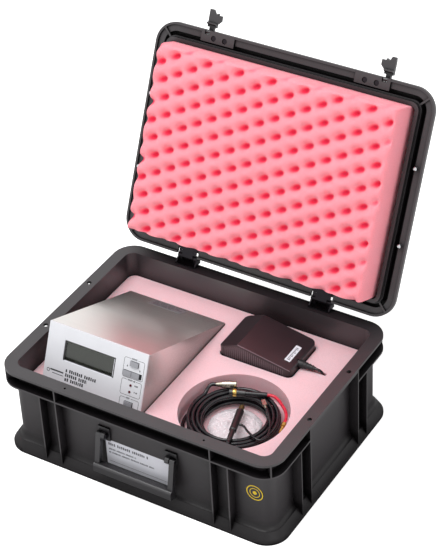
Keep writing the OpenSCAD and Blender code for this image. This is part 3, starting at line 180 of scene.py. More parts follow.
def settle(piece, body, look, slot=None, *nodes):
    """Gives a piece its finish and its body, and hides the CAD nodes that it stands for. The slot is not
    used.
    """
    piece.data.materials.append(finish(look))
    if nodes:
        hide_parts(*nodes)
    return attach(piece, body)


def refinish(look, *nodes):
    """Gives CAD nodes that keep their shape a finish."""
    for node in nodes:
        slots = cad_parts[node].data.materials
        slots.clear()
        slots.append(finish(look))


def smooth(points, steps):
    """Smooth curve through chosen points, as part.scad draws its cables."""
    out = []
    last = len(points) - 1
    for i in range(last):
        a, b, c, d = (points[max(i - 1, 0)], points[i], points[i + 1], points[min(i + 2, last)])
        for j in range(steps):
            t = j / steps
            sweep = 2 * b + (c - a) * t + (2 * a - 5 * b + 4 * c - d) * t * t
            out.append(0.5 * (sweep + (3 * b - a - 3 * c + d) * t**3))
    return out + [points[-1]]


def route(points, steps):
    """The same curve with straight first and last steps."""
    return [points[0], *smooth(points[1:-1], steps), points[-1]]


def vectors(rows):
    """Vectors of rows of numbers."""
    return [Vector(row) for row in rows]


def coil(radius, pitch, rise, loops, layers, start, lead_in):
    """Piled coil that spirals in and out, as part.scad winds it."""
    steps = looks("cable").loop_steps
    a0 = math.radians(start)
    first = Vector((radius * math.cos(a0), radius * math.sin(a0), 0))
    points = [first - lead_in * Vector((math.sin(a0), -math.cos(a0), 0))]
    for i in range(round(steps * loops * layers) + 1):
        t = i / steps
        m = t % (2 * loops)
        r = radius - pitch * (m if m <= loops else 2 * loops - m)
        k = min(math.floor(t / loops + 0.5), layers - 1)
        climb = 0 if k == 0 else k - 1 + min(max(2 * (t - k * loops) + 0.5, 0), 1)
        a = a0 - math.tau * t
        points.append(Vector((r * math.cos(a), r * math.sin(a), rise * climb)))
    return points


def cord(name, points, diameter, look, body, far_end, end_node, lay, nodes, slot, stiffness="medium"):
    """A cord along points in millimetres, as one open spline in place of its CAD solids."""
    line = bpy.data.curves.new(name, "CURVE")
    line.dimensions = "3D"
    line.bevel_depth = diameter / 2 * MM
    line.bevel_resolution = 4
    line.use_fill_caps = True
    spline = line.splines.new("POLY")
    spline.points.add(len(points) - 1)
    for point, place in zip(spline.points, points):
        point.co = (*(place * MM), 1)
    spline.use_smooth = True
    piece = bpy.data.objects.new(name, line)
    bpy.context.scene.collection.objects.link(piece)
    settle(piece, body, look, slot, *nodes)


def axes_at(origin, x, y):
    """Matrix with a given origin in millimetres and x and y directions."""
    z = x.cross(y)
    made = Matrix((x, y, z)).transposed().to_4x4()
    made.translation = origin * MM
    return made


def on_panel(depth=0.0):
    """Matrix from the panel's plane, x across and y up it, to the row frame, depth out of the panel."""
    return axes_at(METER + depth * PANEL_OUT, ACROSS, COVER_UP)


def in_lid():
    """Matrix from the closed lid, with Z = 0 at its rim, to the open lid's place."""
    turn = Matrix.Rotation(-LID_OPEN, 4, "X")
    rim = Vector((0, 0, LID_Z))
    return Matrix.Translation(HINGE * MM) @ turn @ Matrix.Translation((rim - HINGE) * MM)


class Drawing:
    """A thin printed or stuck-on drawing, or a painted highlight, made flat in millimetres and then put on
    its surface.
    """

    def __init__(self, name):
        self.piece = new_piece(name)
        bpy.ops.object.mode_set(mode="EDIT")

    def outline(self, line):
        """Leaves an outline of the last shape, where line is its width."""
        if line:
            bpy.ops.mesh.inset(thickness=line * MM)
            bpy.ops.mesh.delete(type="FACE")

    def patch(self, x0, y0, x1, y1, corner=0.0, line=0.0):
        """A filled patch, or an outline where line is its width."""
        centre = ((x0 + x1) / 2 * MM, (y0 + y1) / 2 * MM, 0)
        size = (abs(x1 - x0) * MM, abs(y1 - y0) * MM, 1)
        bpy.ops.mesh.primitive_plane_add(size=1, location=centre)
        bpy.ops.transform.resize(value=size, center_override=centre)
        if corner:
            bpy.ops.mesh.bevel(offset=corner * MM, segments=5, affect="VERTICES")
        self.outline(line)

    def disc(self, x, y, radius, line=0.0):
        """A round spot, or a ring where line is its width."""
        centre = (x * MM, y * MM, 0)
        bpy.ops.mesh.primitive_circle_add(vertices=48, radius=radius * MM, fill_type="NGON", location=centre)
        self.outline(line)

    def words(self, x, y, width, height, seed):
        """A row of short upright marks, as fine print looks from afar."""
        at, k = x, seed
        while at < x + width:
            k += 1
            mark = height * (0.42 + 0.2 * noise.noise(Vector((k * 1.7, seed, 0))))
            end = min(at + mark, x + width)
            self.patch(at, y, end, y + height * (1 if k % 3 else 0.86))
            at = end + height * (0.24 if k % 7 else 0.75)

    def done(self, thickness, matrix, body, look):
        """Leaves edit mode, gives the drawing its thickness, puts it in place and settles it."""
        bpy.ops.object.mode_set(mode="OBJECT")
        modify(self.piece, "SOLIDIFY", thickness=thickness * MM, offset=1)
        settle(place_with(self.piece, matrix), body, look)


# Sizes and colours that a user would change


def colour_prop(name, description, code):
    """A colour that a user may change, with its default as a hex value."""
    return FloatVectorProperty(
        name=name, description=description, subtype="COLOR", size=3, min=0, max=1, default=linear(code)
    )


class CaseLooks(bpy.types.PropertyGroup):
    """Case shells, latches and handle."""

    wall_colour: colour_prop("Walls", "Colour of the moulded walls", "#2e2a2d")
    # Painted highlight: the light colour of the rounded edges.
    edge_colour: colour_prop("Edges", "Colour of the painted edge highlights", "#b2afb6")
    fitting_colour: colour_prop("Fittings", "Colour of latches and handle", "#2a282b")
    edge_radius: FloatProperty(
        name="Edge radius",
        description="Rounding of moulded edges in millimetres",
        default=0.8, min=0.1, max=1,
    )
    sticker_radius: FloatProperty(
        name="Sticker radius",
        description="Radius of the yellow ring in millimetres",
        default=11.5, min=6, max=14,
    )


class FoamLooks(bpy.types.PropertyGroup):
    """Cut foam of the base and convoluted foam of the lid."""

    base_colour: colour_prop("Base foam", "Colour of the cut foam", "#f3c8cf")
    lid_colour: colour_prop("Lid foam", "Colour of the lid foam's peaks", "#ff9aa5")
    pit_colour: colour_prop("Pits", "Colour in the lid foam's pits", "#f5486a")
    pitch: FloatProperty(
        name="Pitch", description="Pitch of the pits in millimetres", default=23.0, min=18, max=30
    )
    depth: FloatProperty(
        name="Depth", description="Depth of the pits in millimetres", default=13.0, min=8, max=20
    )


class MeterLooks(bpy.types.PropertyGroup):
    """Meter and adapter."""

    steel_colour: colour_prop("Cover", "Tint of the brushed steel", "#f2f0ec")
    panel_colour: colour_prop("Panel", "Colour of the painted panel", "#e4e5ea")
    ink_colour: colour_prop("Ink", "Colour of the printing", "#2b2b30")
    adapter_colour: colour_prop("Adapter", "Colour of the adapter's housing", "#2a2024")
    line_width: FloatProperty(
        name="Line width", description="Printed lines in millimetres", default=0.45, min=0.2, max=1
    )


class CableLooks(bpy.types.PropertyGroup):
    """Cables and the probe."""

    sheath_colour: colour_prop("Sheath", "Colour of the black sheaths", "#17151a")
    red_colour: colour_prop("Red lead", "Colour of the red lead", "#d8203c")
    loop_steps: IntProperty(
        name="Loop steps", description="Points in each loop of a coil", default=48, min=24, max=96
    )


class StageLooks(bpy.types.PropertyGroup):
    """Floor and lamps."""

    floor_colour: colour_prop("Floor", "Colour of the floor", "#f4f4f4")
    key_power: FloatProperty(
        name="Key lamp", description="Power of the key lamp in watts", default=26.0, min=0
    )
    fill_power: FloatProperty(
        name="Fill lamp", description="Power of the fill lamp in watts", default=5.0, min=0
    )
    sky_strength: FloatProperty(name="Sky", description="Strength of the even light", default=0.72, min=0)


LOOKS = {
    "kit_case": CaseLooks,
    "kit_foam": FoamLooks,
    "kit_meter": MeterLooks,
    "kit_cable": CableLooks,
    "kit_stage": StageLooks,
}


# Finishes


def scaled(colour, share=1.0):
    """A colour made darker or lighter, as a socket takes it."""
    return (*[min(c * share, 1) for c in colour], 1)


def moulded_plastic(tree, place, colour, roughness=0.42, grain=1.2, relief=0.12, foot=0.0):
    """Injection-moulded polypropylene, nylon or ABS. A spark-eroded grain breaks up the highlight, and
    handling leaves faint shinier patches. The grain is drawn coarse enough to show at a metre. Painted
    shade: deep corners are darker and their highlight duller, and so is the moulding below the foot
    height, given in millimetres, where it stands in the shade near the floor."""
    # Painted shade: deep corners are darker and their highlight duller.
    shade_ao = add(tree, "ShaderNodeAmbientOcclusion", {"Distance": 28 * MM}, samples=6)
    painted_shade = add(tree, "ShaderNodeMapRange", {0: shade_ao.outputs["AO"], 1: 0.35, 2: 0.85, 3: 0.12, 4: 1.0})
    if foot:
        # Painted shade: darker and duller below the foot height, near the floor.
        height = add(tree, "ShaderNodeSeparateXYZ", {0: place}).outputs[2]
        painted_light = add(tree, "ShaderNodeMapRange", {0: height, 1: foot * MM, 2: (foot + 8) * MM, 3: 0.45, 4: 1.0})
        painted_shade = add(tree, "ShaderNodeMath", {0: painted_shade, 1: painted_light}, operation="MULTIPLY")
    spark = add(tree, "ShaderNodeMath", {0: painted_shade, 1: 0.8}, operation="MULTIPLY")
    grains = add(tree, "ShaderNodeTexNoise", {"Vector": place, "Scale": 1 / (grain * MM), "Detail": 2.0})
    patches = add(tree, "ShaderNodeTexNoise", {"Vector": place, "Scale": 1 / (45 * MM), "Detail": 3.0})
    dark, light = scaled(colour, 0.85), scaled(colour, 1.15)
    tone = add(tree, "ShaderNodeMix", {0: patches, 6: dark, 7: light}, data_type="RGBA").outputs[2]
    tone = add(tree, "ShaderNodeMix", {0: 1.0, 6: tone, 7: painted_shade}, data_type="RGBA", blend_type="MULTIPLY")
    low, high = roughness - 0.02, roughness + 0.03
    sockets = {
        "Base Color": tone.outputs[2],
        "Roughness": add(tree, "ShaderNodeMapRange", {0: patches, 1: 0.3, 2: 0.7, 3: low, 4: high}),
        "Specular IOR Level": spark,
        "Normal": add(tree, "ShaderNodeBump", {"Height": grains, "Strength": relief, "Distance": 0.3 * MM}),
    }
    return add(tree, "ShaderNodeBsdfPrincipled", sockets)


def polyurethane_foam(tree, place, colour, pits=None):
    """Open-cell polyurethane foam. Its cells make it quite matt with a fine sponge, drawn at 1 mm. Painted
    shade: the pits of the lid's foam are coloured a deeper red, where light bounces in them and passes
    through more of the foam."""
    cells = add(tree, "ShaderNodeTexVoronoi", {"Vector": place, "Scale": 1 / (1.1 * MM)}).outputs["Distance"]
    fine = add(tree, "ShaderNodeTexNoise", {"Vector": place, "Scale": 1 / (0.7 * MM), "Detail": 2.0})
    slow = add(tree, "ShaderNodeTexNoise", {"Vector": place, "Scale": 1 / (40 * MM), "Detail": 2.0})
    dark, light = scaled(colour, 0.95), scaled(colour, 1.04)
    tone = add(tree, "ShaderNodeMix", {0: slow, 6: dark, 7: light}, data_type="RGBA").outputs[2]
    if pits:
        # Painted shade: a deeper red in the pits, weighted by the pit attribute.
        depth = add(tree, "ShaderNodeAttribute", attribute_name="pit").outputs["Fac"]
        depth = add(tree, "ShaderNodeMapRange", {0: depth, 1: 0.15, 2: 0.8}, interpolation_type="SMOOTHSTEP")
        red = scaled(chosen(pits))
        tone = add(tree, "ShaderNodeMix", {0: depth, 6: tone, 7: red}, data_type="RGBA").outputs[2]
    pores = add(tree, "ShaderNodeMapRange", {0: cells, 1: 0.0, 2: 0.5, 3: 0.86, 4: 1.0})
    tone = add(tree, "ShaderNodeMix", {0: 1.0, 6: tone, 7: pores}, data_type="RGBA", blend_type="MULTIPLY")
    height = add(tree, "ShaderNodeMath", {0: cells, 1: fine}, operation="ADD")
    sockets = {
        "Base Color": tone.outputs[2],
        "Roughness": 0.95,
        "Specular IOR Level": 0.15,
        "Subsurface Weight": 0.35,
        "Subsurface Radius": (1.0, 0.35, 0.35),
        "Subsurface Scale": 5 * MM,
        "Normal": add(tree, "ShaderNodeBump", {"Height": height, "Strength": 0.35, "Distance": 0.5 * MM}),
    }
    return add(tree, "ShaderNodeBsdfPrincipled", sockets)


def brushed_steel(tree, place, colour):
    """Stainless steel sheet, belt-brushed from side to side. The scratches draw reflections out across
    them. They are drawn 0.5 mm apart, coarser than the real grit, so that they show. Painted shade: the
    sheet is darker where the foam and the walls stand close around it."""
    scratch = (1 / (90 * MM), 1 / (0.5 * MM), 1 / (0.5 * MM))
    along = add(tree, "ShaderNodeMapping", {"Vector": place, "Scale": scratch})
    lines = add(tree, "ShaderNodeTexNoise", {"Vector": along, "Scale": 1.0, "Detail": 3.0})
    smears = add(tree, "ShaderNodeTexNoise", {"Vector": place, "Scale": 1 / (60 * MM), "Detail": 3.0})
    # Painted shade: darker where the foam and the walls stand close.
    shade_ao = add(tree, "ShaderNodeAmbientOcclusion", {"Distance": 90 * MM}, samples=6)
    painted_shade = add(tree, "ShaderNodeMapRange", {0: shade_ao.outputs["AO"], 1: 0.5, 2: 0.97, 3: 0.33, 4: 1.0})
    dark, light = scaled(colour, 0.9), scaled(colour, 1.06)
    tone = add(tree, "ShaderNodeMix", {0: lines, 6: dark, 7: light}, data_type="RGBA").outputs[2]
    tone = add(tree, "ShaderNodeMix", {0: 1.0, 6: tone, 7: painted_shade}, data_type="RGBA", blend_type="MULTIPLY")
    sockets = {
        "Base Color": tone.outputs[2],
        "Metallic": 0.85,
        "Roughness": add(tree, "ShaderNodeMapRange", {0: smears, 1: 0.3, 2: 0.7, 3: 0.28, 4: 0.35}),
        "Anisotropic": 0.6,
        "Tangent": add(tree, "ShaderNodeTangent", direction_type="UV_MAP", uv_map="brush"),
        "Normal": add(tree, "ShaderNodeBump", {"Height": lines, "Strength": 0.08, "Distance": 0.1 * MM}),
    }
    return add(tree, "ShaderNodeBsdfPrincipled", sockets)


def plain_metal(tree, place, colour, roughness=0.3, mark=6.0):
    """Turned, plated or stamped metal: even, with slow changes of shine where it was handled."""
    marks = add(tree, "ShaderNodeTexNoise", {"Vector": place, "Scale": 1 / (mark * MM), "Detail": 4.0})
    dark, light = scaled(colour, 0.82), scaled(colour, 1.08)
    tone = add(tree, "ShaderNodeMix", {0: marks, 6: dark, 7: light}, data_type="RGBA").outputs[2]
    low, high = roughness - 0.06, roughness + 0.1
    shine = add(tree, "ShaderNodeMapRange", {0: marks, 1: 0.3, 2: 0.7, 3: low, 4: high})
    return add(tree, "ShaderNodeBsdfPrincipled", {"Base Color": tone, "Metallic": 1.0, "Roughness": shine})


def soft_sheath(tree, place, colour, roughness=0.3):
    """Extruded PVC or moulded rubber: glossy, slightly uneven where it has been bent and handled."""
    waves = add(tree, "ShaderNodeTexNoise", {"Vector": place, "Scale": 1 / (5 * MM), "Detail": 2.0})
    dark, light = scaled(colour, 0.8), scaled(colour, 1.25)
    tone = add(tree, "ShaderNodeMix", {0: waves, 6: dark, 7: light}, data_type="RGBA").outputs[2]
    low, high = roughness - 0.06, roughness + 0.08
    shine = add(tree, "ShaderNodeMapRange", {0: waves, 1: 0.3, 2: 0.7, 3: low, 4: high})
    bump = add(tree, "ShaderNodeBump", {"Height": waves, "Strength": 0.15, "Distance": 0.3 * MM})
    return add(tree, "ShaderNodeBsdfPrincipled", {"Base Color": tone, "Roughness": shine, "Normal": bump})


def flat_coat(tree, place, colour, roughness=0.5, grain=0.6, metallic=0.0):
    """Paint, ink, paper or foil: an even coat with a fine tooth and a little mottling."""
    tooth = add(tree, "ShaderNodeTexNoise", {"Vector": place, "Scale": 1 / (grain * MM), "Detail": 2.0})
    slow = add(tree, "ShaderNodeTexNoise", {"Vector": place, "Scale": 1 / (25 * MM), "Detail": 2.0})
    dark, light = scaled(colour, 0.95), scaled(colour, 1.04)
    tone = add(tree, "ShaderNodeMix", {0: slow, 6: dark, 7: light}, data_type="RGBA").outputs[2]
    bump = add(tree, "ShaderNodeBump", {"Height": tooth, "Strength": 0.06, "Distance": 0.1 * MM})
    sockets = {"Base Color": tone, "Roughness": roughness, "Metallic": metallic, "Normal": bump}
    return add(tree, "ShaderNodeBsdfPrincipled", sockets)


def circuit_board(tree, place, mask):
    """Glass-epoxy board under green solder mask, with lighter copper tracks showing through."""
    layout = {
        "Vector": place,
        "Scale": 1 / (9 * MM),
        "Mortar Size": 0.012,
        "Color1": scaled(mask),
        "Color2": scaled(linear("#1a5230")),
        "Mortar": scaled(linear("#3f7d52")),
    }
    tracks = add(tree, "ShaderNodeTexBrick", layout, offset=0.5)
    return add(tree, "ShaderNodeBsdfPrincipled", {"Base Color": tracks.outputs["Color"], "Roughness": 0.35})


def clear_window(tree, place, colour):
    """Cast acrylic: clear, glossy, with the faintest ripple."""
    ripple = add(tree, "ShaderNodeTexNoise", {"Vector": place, "Scale": 1 / (20 * MM), "Detail": 1.0})
    sockets = {
        "Base Color": scaled(colour),
        "Roughness": 0.03,
        "IOR": 1.49,
        "Transmission Weight": 1.0,
        "Specular IOR Level": 0.2,
        "Normal": add(tree, "ShaderNodeBump", {"Height": ripple, "Strength": 0.03, "Distance": 0.2 * MM}),
    }
    return add(tree, "ShaderNodeBsdfPrincipled", sockets)


def crumpled_film(tree, place, colour):
    """Polyethylene film of a small bag, crumpled: milky at its folds, clear between them."""
    folds = add(tree, "ShaderNodeTexNoise", {"Vector": place, "Scale": 1 / (7 * MM), "Detail": 4.0})
    sockets = {
        "Base Color": scaled(colour),
        "Roughness": add(tree, "ShaderNodeMapRange", {0: folds, 1: 0.35, 2: 0.65, 3: 0.12, 4: 0.35}),
        "IOR": 1.45,
        "Transmission Weight": 0.2,
        "Normal": add(tree, "ShaderNodeBump", {"Height": folds, "Strength": 0.5, "Distance": 1.0 * MM}),
    }
    return add(tree, "ShaderNodeBsdfPrincipled", sockets)


def paper_floor(tree, place, colour):
    """Matt studio paper. The camera sees it lit and white, also through the film. To other rays it holds a
    painted shadow: it is duller near the case, over a box of 400 by 300 mm, so that it doesn't wash out
    the dark walls."""
    ray = add(tree, "ShaderNodeLightPath").outputs
    paper = add(tree, "ShaderNodeBsdfPrincipled", {"Base Color": scaled(colour), "Roughness": 0.9})
    glow = add(tree, "ShaderNodeEmission", {"Color": (1, 1, 1, 1), "Strength": 0.6})
    lit = add(tree, "ShaderNodeAddShader", {0: paper, 1: glow})
    spot = add(tree, "ShaderNodeSeparateXYZ", {0: place})
    out = []
    for axis, half in enumerate((0.2, 0.15)):
        size = add(tree, "ShaderNodeMath", {0: spot.outputs[axis]}, operation="ABSOLUTE")
        out.append(add(tree, "ShaderNodeMath", {0: size, 1: half}, operation="SUBTRACT"))
    away = add(tree, "ShaderNodeMath", {0: out[0], 1: out[1]}, operation="MAXIMUM")
    # Painted shadow: to other rays the floor is darker near the case.
    white = add(tree, "ShaderNodeMapRange", {0: away, 1: 0.02, 2: 0.2, 3: 0.25, 4: 1.0})
    dull = add(tree, "ShaderNodeBsdfPrincipled", {"Base Color": white, "Roughness": 0.9})
    camera, film = ray["Is Camera Ray"], ray["Is Transmission Ray"]
    seen = add(tree, "ShaderNodeMath", {0: camera, 1: film}, operation="MAXIMUM")
    return add(tree, "ShaderNodeMixShader", {0: seen, 1: dull, 2: lit})


# Each finish's surface and colour, then the surface's own values
FINISHES = {
    "moulded polypropylene": (moulded_plastic, "case.wall_colour", 0.4, 1.2, 0.12, 20.0),
    # Painted highlight on the rounded edges of the case.
    "rubbed polypropylene edge": (moulded_plastic, "case.edge_colour", 0.3, 1.2, 0.05),
    "moulded nylon": (moulded_plastic, "case.fitting_colour", 0.36),
    "cut polyurethane foam": (polyurethane_foam, "foam.base_colour"),
    "convoluted polyurethane foam": (polyurethane_foam, "foam.lid_colour", "foam.pit_colour"),
    "blackened steel": (plain_metal, "#343236", 0.42),
    "zinc-plated steel": (plain_metal, "#b9bcc2", 0.32),
    "bright steel": (plain_metal, "#d6d7da", 0.2),
    "brushed stainless steel": (brushed_steel, "meter.steel_colour"),
    "nickel plate": (plain_metal, "#b4ae9f", 0.26, 3),
    "turned brass": (plain_metal, "#cda85c", 0.24, 3),
    "tarnished brass": (plain_metal, "#8c8458", 0.4, 2),
    "tinned steel": (plain_metal, "#c9cbcd", 0.35, 12),
    "powder coat": (flat_coat, "meter.panel_colour", 0.45),
    "screen ink": (flat_coat, "meter.ink_colour", 0.4),
    "panel white": (flat_coat, "meter.panel_colour", 0.45, 0.9),
    "label paper": (flat_coat, "#e4e4ec", 0.35),
    "label ink": (flat_coat, "#4a4a50", 0.45),
    "silver foil": (flat_coat, "#a9a6ab", 0.4, 0.8, 0.7),
    "yellow vinyl": (flat_coat, "#f3cf30", 0.4),
    "black ABS": (moulded_plastic, "#121113", 0.32, 0.9, 0.08),
    "grey ABS": (moulded_plastic, "#9c9da3", 0.42, 0.7, 0.1),
    "adapter ABS": (moulded_plastic, "meter.adapter_colour", 0.3, 0.9, 0.1),
    # Painted highlight: light stripes for the adapter's ribs.
    "grooved ABS": (moulded_plastic, "#66585f", 0.3, 0.9, 0.05),
    # Painted highlight on the adapter's edges.
    "worn ABS edge": (moulded_plastic, "#7b6c73", 0.28, 0.9, 0.05),
    "display glass": (flat_coat, "#181d13", 0.6, 2.0),
    "clear acrylic": (clear_window, "#f4f7f2"),
    "solder mask": (circuit_board, "#1d5a35"),
    "lamp epoxy": (soft_sheath, "#5a1420", 0.15),
    "glossy PVC": (soft_sheath, "cable.sheath_colour", 0.18),
    "red PVC": (soft_sheath, "cable.red_colour", 0.3),
    "black rubber": (soft_sheath, "#1d1c1e", 0.5),
    "varnished laminations": (plain_metal, "#6a6560", 0.5, 2),
    "polyethylene film": (crumpled_film, "#fbf0f5"),
    "matt paper floor": (paper_floor, "stage.floor_colour"),
}


def looks(group):
    """The sizes and colours of one group."""
    return getattr(bpy.context.scene, "kit_" + group)


def chosen(colour):
    """Linear colour of a hex value, or of a user's colour named by its group and name."""
    if colour.startswith("#"):
        return linear(colour)
    group, name = colour.split(".")
    return getattr(looks(group), name)


def finish(name):
    """A finish by its name, made once."""
    made = bpy.data.materials.get(name)
    if not made:
        surface, colour, *values = FINISHES[name]
        made = bpy.data.materials.new(name)
        made.use_nodes = True
        tree = made.node_tree
        tree.nodes.clear()
        place = add(tree, "ShaderNodeTexCoord").outputs["Object"]
        shader = surface(tree, place, chosen(colour), *values)
        add(tree, "ShaderNodeOutputMaterial", {"Surface": shader})
    return made


# Stage


class KIT_OT_stage(bpy.types.Operator):
    """Floor, lamps and camera"""

    bl_idname = "kit.stage"
    bl_label = "Stage"

    def execute(self, context):
        values = looks("stage")
        bpy.ops.mesh.primitive_plane_add(size=14, location=(0, 0, 0))
        floor = named("floor")
        floor.data.materials.append(finish("matt paper floor"))

        world = bpy.data.worlds.new("studio")
        context.scene.world = world
        world.use_nodes = True
        tree = world.node_tree
        tree.nodes.clear()
        ray = add(tree, "ShaderNodeLightPath").outputs
        seen = ray["Is Camera Ray"]
        for kind in ("Is Glossy Ray", "Is Transmission Ray"):
            seen = add(tree, "ShaderNodeMath", {0: seen, 1: ray[kind]}, operation="MAXIMUM")
        strength = add(tree, "ShaderNodeMapRange", {0: seen, 3: values.sky_strength, 4: 1.0})
        sky = add(tree, "ShaderNodeBackground", {"Color": (1, 1, 1, 1), "Strength": strength})
        add(tree, "ShaderNodeOutputWorld", {"Surface": sky})

        for name, place, power in (
            ("key_lamp", KEY_PLACE, values.key_power),
            ("fill_lamp", FILL_PLACE, values.fill_power),
        ):
            bpy.ops.object.light_add(type="AREA", location=place)
            lamp = named(name)
            lamp.data.size = LAMP_SIZE
            lamp.data.energy = power
            lamp.rotation_euler = (place - LAMP_AIM).to_track_quat("Z", "Y").to_euler()

        right = Vector((math.cos(CAMERA_TURN), math.sin(CAMERA_TURN), 0))
        view = CAMERA_VIEW.normalized()
        up = right.cross(view)
        turned_right = right * math.cos(CAMERA_ROLL) + up * math.sin(CAMERA_ROLL)
        turned_up = up * math.cos(CAMERA_ROLL) - right * math.sin(CAMERA_ROLL)
        lens = bpy.data.cameras.new("camera")
        lens.sensor_fit = "VERTICAL"
        lens.sensor_height = 36
        lens.lens = 127.36
        camera = bpy.data.objects.new("camera", lens)
        context.scene.collection.objects.link(camera)
        camera.matrix_world = Matrix((turned_right, turned_up, -view)).transposed().to_4x4()
        camera.location = CAMERA_PLACE
        context.scene.camera = camera
        context.scene.view_settings.view_transform = "Standard"
        return {"FINISHED"}


# Cables, along points of part.scad in millimetres


COAX_TAIL = (
    (-54.8, 19.6, 18.9), (-54.5, 24.2, 21.3), (-53.4, 28.6, 24.9), (-50.9, 32.2, 26.7), (-46.5, 34.2, 26.9),
)
COAX_ROUTE = (
    (23.6, -58.4, 24.8), (22.8, -61, 21), (18.3, -62.6, 17.8), (10.3, -64.3, 15.5), (0, -65, 14),
    (-11.7, -64, 12), (-22.2, -61.1, 10), (-32.7, -56.1, 8.2), (-41.8, -49.8, 6.5), (-49.7, -42.2, 5.2),
    (-56.3, -32.5, 4.2), (-60.7, -22.8, 3.4), (-63.3, -12.3, 2.9), (-61.8, -4.5, 2.7), (-59.2, 3.2, 2.7),
)
PROBE_TAIL = Vector((21.3, -49.8, 26.1))
PROBE_END = Vector((-1.9, 22.4, 17.4))
EARTH_ROUTE = (
    (14.4, -12.5, 21.7), (17.3, -11.6, 21.7), (22.4, -13.4, 22), (29, -18.5, 23), (36, -23, 24.2),
    (43.5, -27.2, 25), (50, -28.8, 25), (55.2, -26.6, 24.8), (57.4, -21, 24.6), (55.8, -12, 24.4),
    (51.5, -1, 24.3), (45.5, 9.5, 24.3), (38, 19, 24.3), (30.5, 26.5, 24.3),
)
PLUG_FROM = Vector((-24.6, 30.2, 25.7))
SLEEVE_TO = Vector((19.4, 48.8, 24.6))
RED_ROUTE = (
    (29.5, 50.6, 24.2), (36.5, 47.4, 23.9), (44, 42, 23.8), (51.5, 36, 23.7), (57.6, 29, 23.7),
    (61.4, 21.5, 23.4), (63, 14, 23),
)
ADAPTER_ROUTE = (
    (127, 25.5, 34), (130.5, 25.8, 33.7), (133.8, 26.4, 32.2), (136.4, 27, 29), (137.8, 27.4, 24.5),
    (138.2, 27.5, 18), (138.2, 27.5, 11), (138, 27.5, 4), (136.2, 27.5, -3), (132, 27.5, -8.6),
    (125, 27.5, -12.2), (116, 27.5, -13.7), (106, 27.5, -14), (96, 27, -14), (87, 25, -14), (78, 20.5, -14),
    (70.5, 15.5, -14), (62, 12.2, -14), (54, 11, -14),
)


class KIT_OT_measuring_cable(bpy.types.Operator):
    """Coaxial cable from the probe through its coil to the plug"""

    bl_idname = "kit.measuring_cable"
    bl_label = "Measuring cable"

    def execute(self, context):
        turns = [p + Vector((0, 0, 2.7)) for p in coil(58, 5.8, 5.4, 3, 4, 165, 4.8)]
        turns += smooth([turns[-1], *vectors(COAX_TAIL)], 3)[1:]
        back = (PROBE_TAIL - PROBE_END).normalized()
        lead = [PROBE_TAIL, PROBE_TAIL + 4.8 * back, *vectors(COAX_ROUTE), 2 * turns[0] - turns[1], turns[0]]
        points = [POCKET + p for p in route(lead, 3) + turns[1:]]
        nodes = ("coax_coil", "coax_lead")
        ends = ("connector", "coax_connector", "coiled")
        cord("measuring_cable", points, 4.8, "glossy PVC", "cable_set", *ends, nodes, "cable_black")
        return {"FINISHED"}


class KIT_OT_adapter_cable(bpy.types.Operator):
    """Low-voltage lead of the adapter, coiled in the well under it"""

    bl_idname = "kit.adapter_cable"
    bl_label = "Adapter cable"

    def execute(self, context):
        turns = [p + Vector((46, 35, -14)) for p in coil(24, 4.2, 4, 2.75, 2, 270, 3.4)]
        turns.append(Vector((73, 59, -10)))
        lead = vectors(ADAPTER_ROUTE)
        lead = route([lead[0] - Vector((1.2, 0, 0)), *lead, turns[0]], 3)
        points = [ADAPTER + p for p in lead + turns[1:]]
        nodes = ("adapter_lead", "adapter_lead_coil")
        ends = ("plug", "adapter_plug", "coiled")
        cord("adapter_cable", points, 3.4, "glossy PVC", "adapter", *ends, nodes, "cable_black")
        return {"FINISHED"}


class KIT_OT_small_leads(bpy.types.Operator):
    """Thin earth lead and red lead on top of the coil"""

    bl_idname = "kit.small_leads"
    bl_label = "Small leads"

    def execute(self, context):
        earth = vectors(EARTH_ROUTE)
        start = (SLEEVE_TO - PLUG_FROM).normalized()
        red = [SLEEVE_TO, SLEEVE_TO + 4 * start, *vectors(RED_ROUTE)]
        for name, points, width, look, far_end, end_node, node, slot in (
            ("thin_lead", earth, 3.0, "glossy PVC", "fitting", "earth_clip", "earth_lead", "cable_black"),
            ("red_cable", red, 4.0, "red PVC", "connector", "red_lead_end", "red_lead", "cable_red"),
        ):
            points = [POCKET + p for p in route(points, 3)]
            cord(name, points, width, look, "cable_set", far_end, end_node, "loose", (node,), slot, "limp")
        return {"FINISHED"}


# Case


class KIT_OT_case(bpy.types.Operator):
    """Base shell and lid shell with rubbed edges"""

    bl_idname = "kit.case"
    bl_label = "Case shells"

    def execute(self, context):
        width = looks("case").edge_radius
        for name, node, body in (("case_base", "base_shell", "base"), ("case_lid", "lid_shell", "lid")):
            piece = own_copy(name, node, body, "moulded polypropylene", "case_plastic", width, 2, 35, 1)
            # The rounded edges take a painted highlight.
            piece.data.materials.append(finish("rubbed polypropylene edge"))
        refinish("bright steel", "locating_pins")
        return {"FINISHED"}


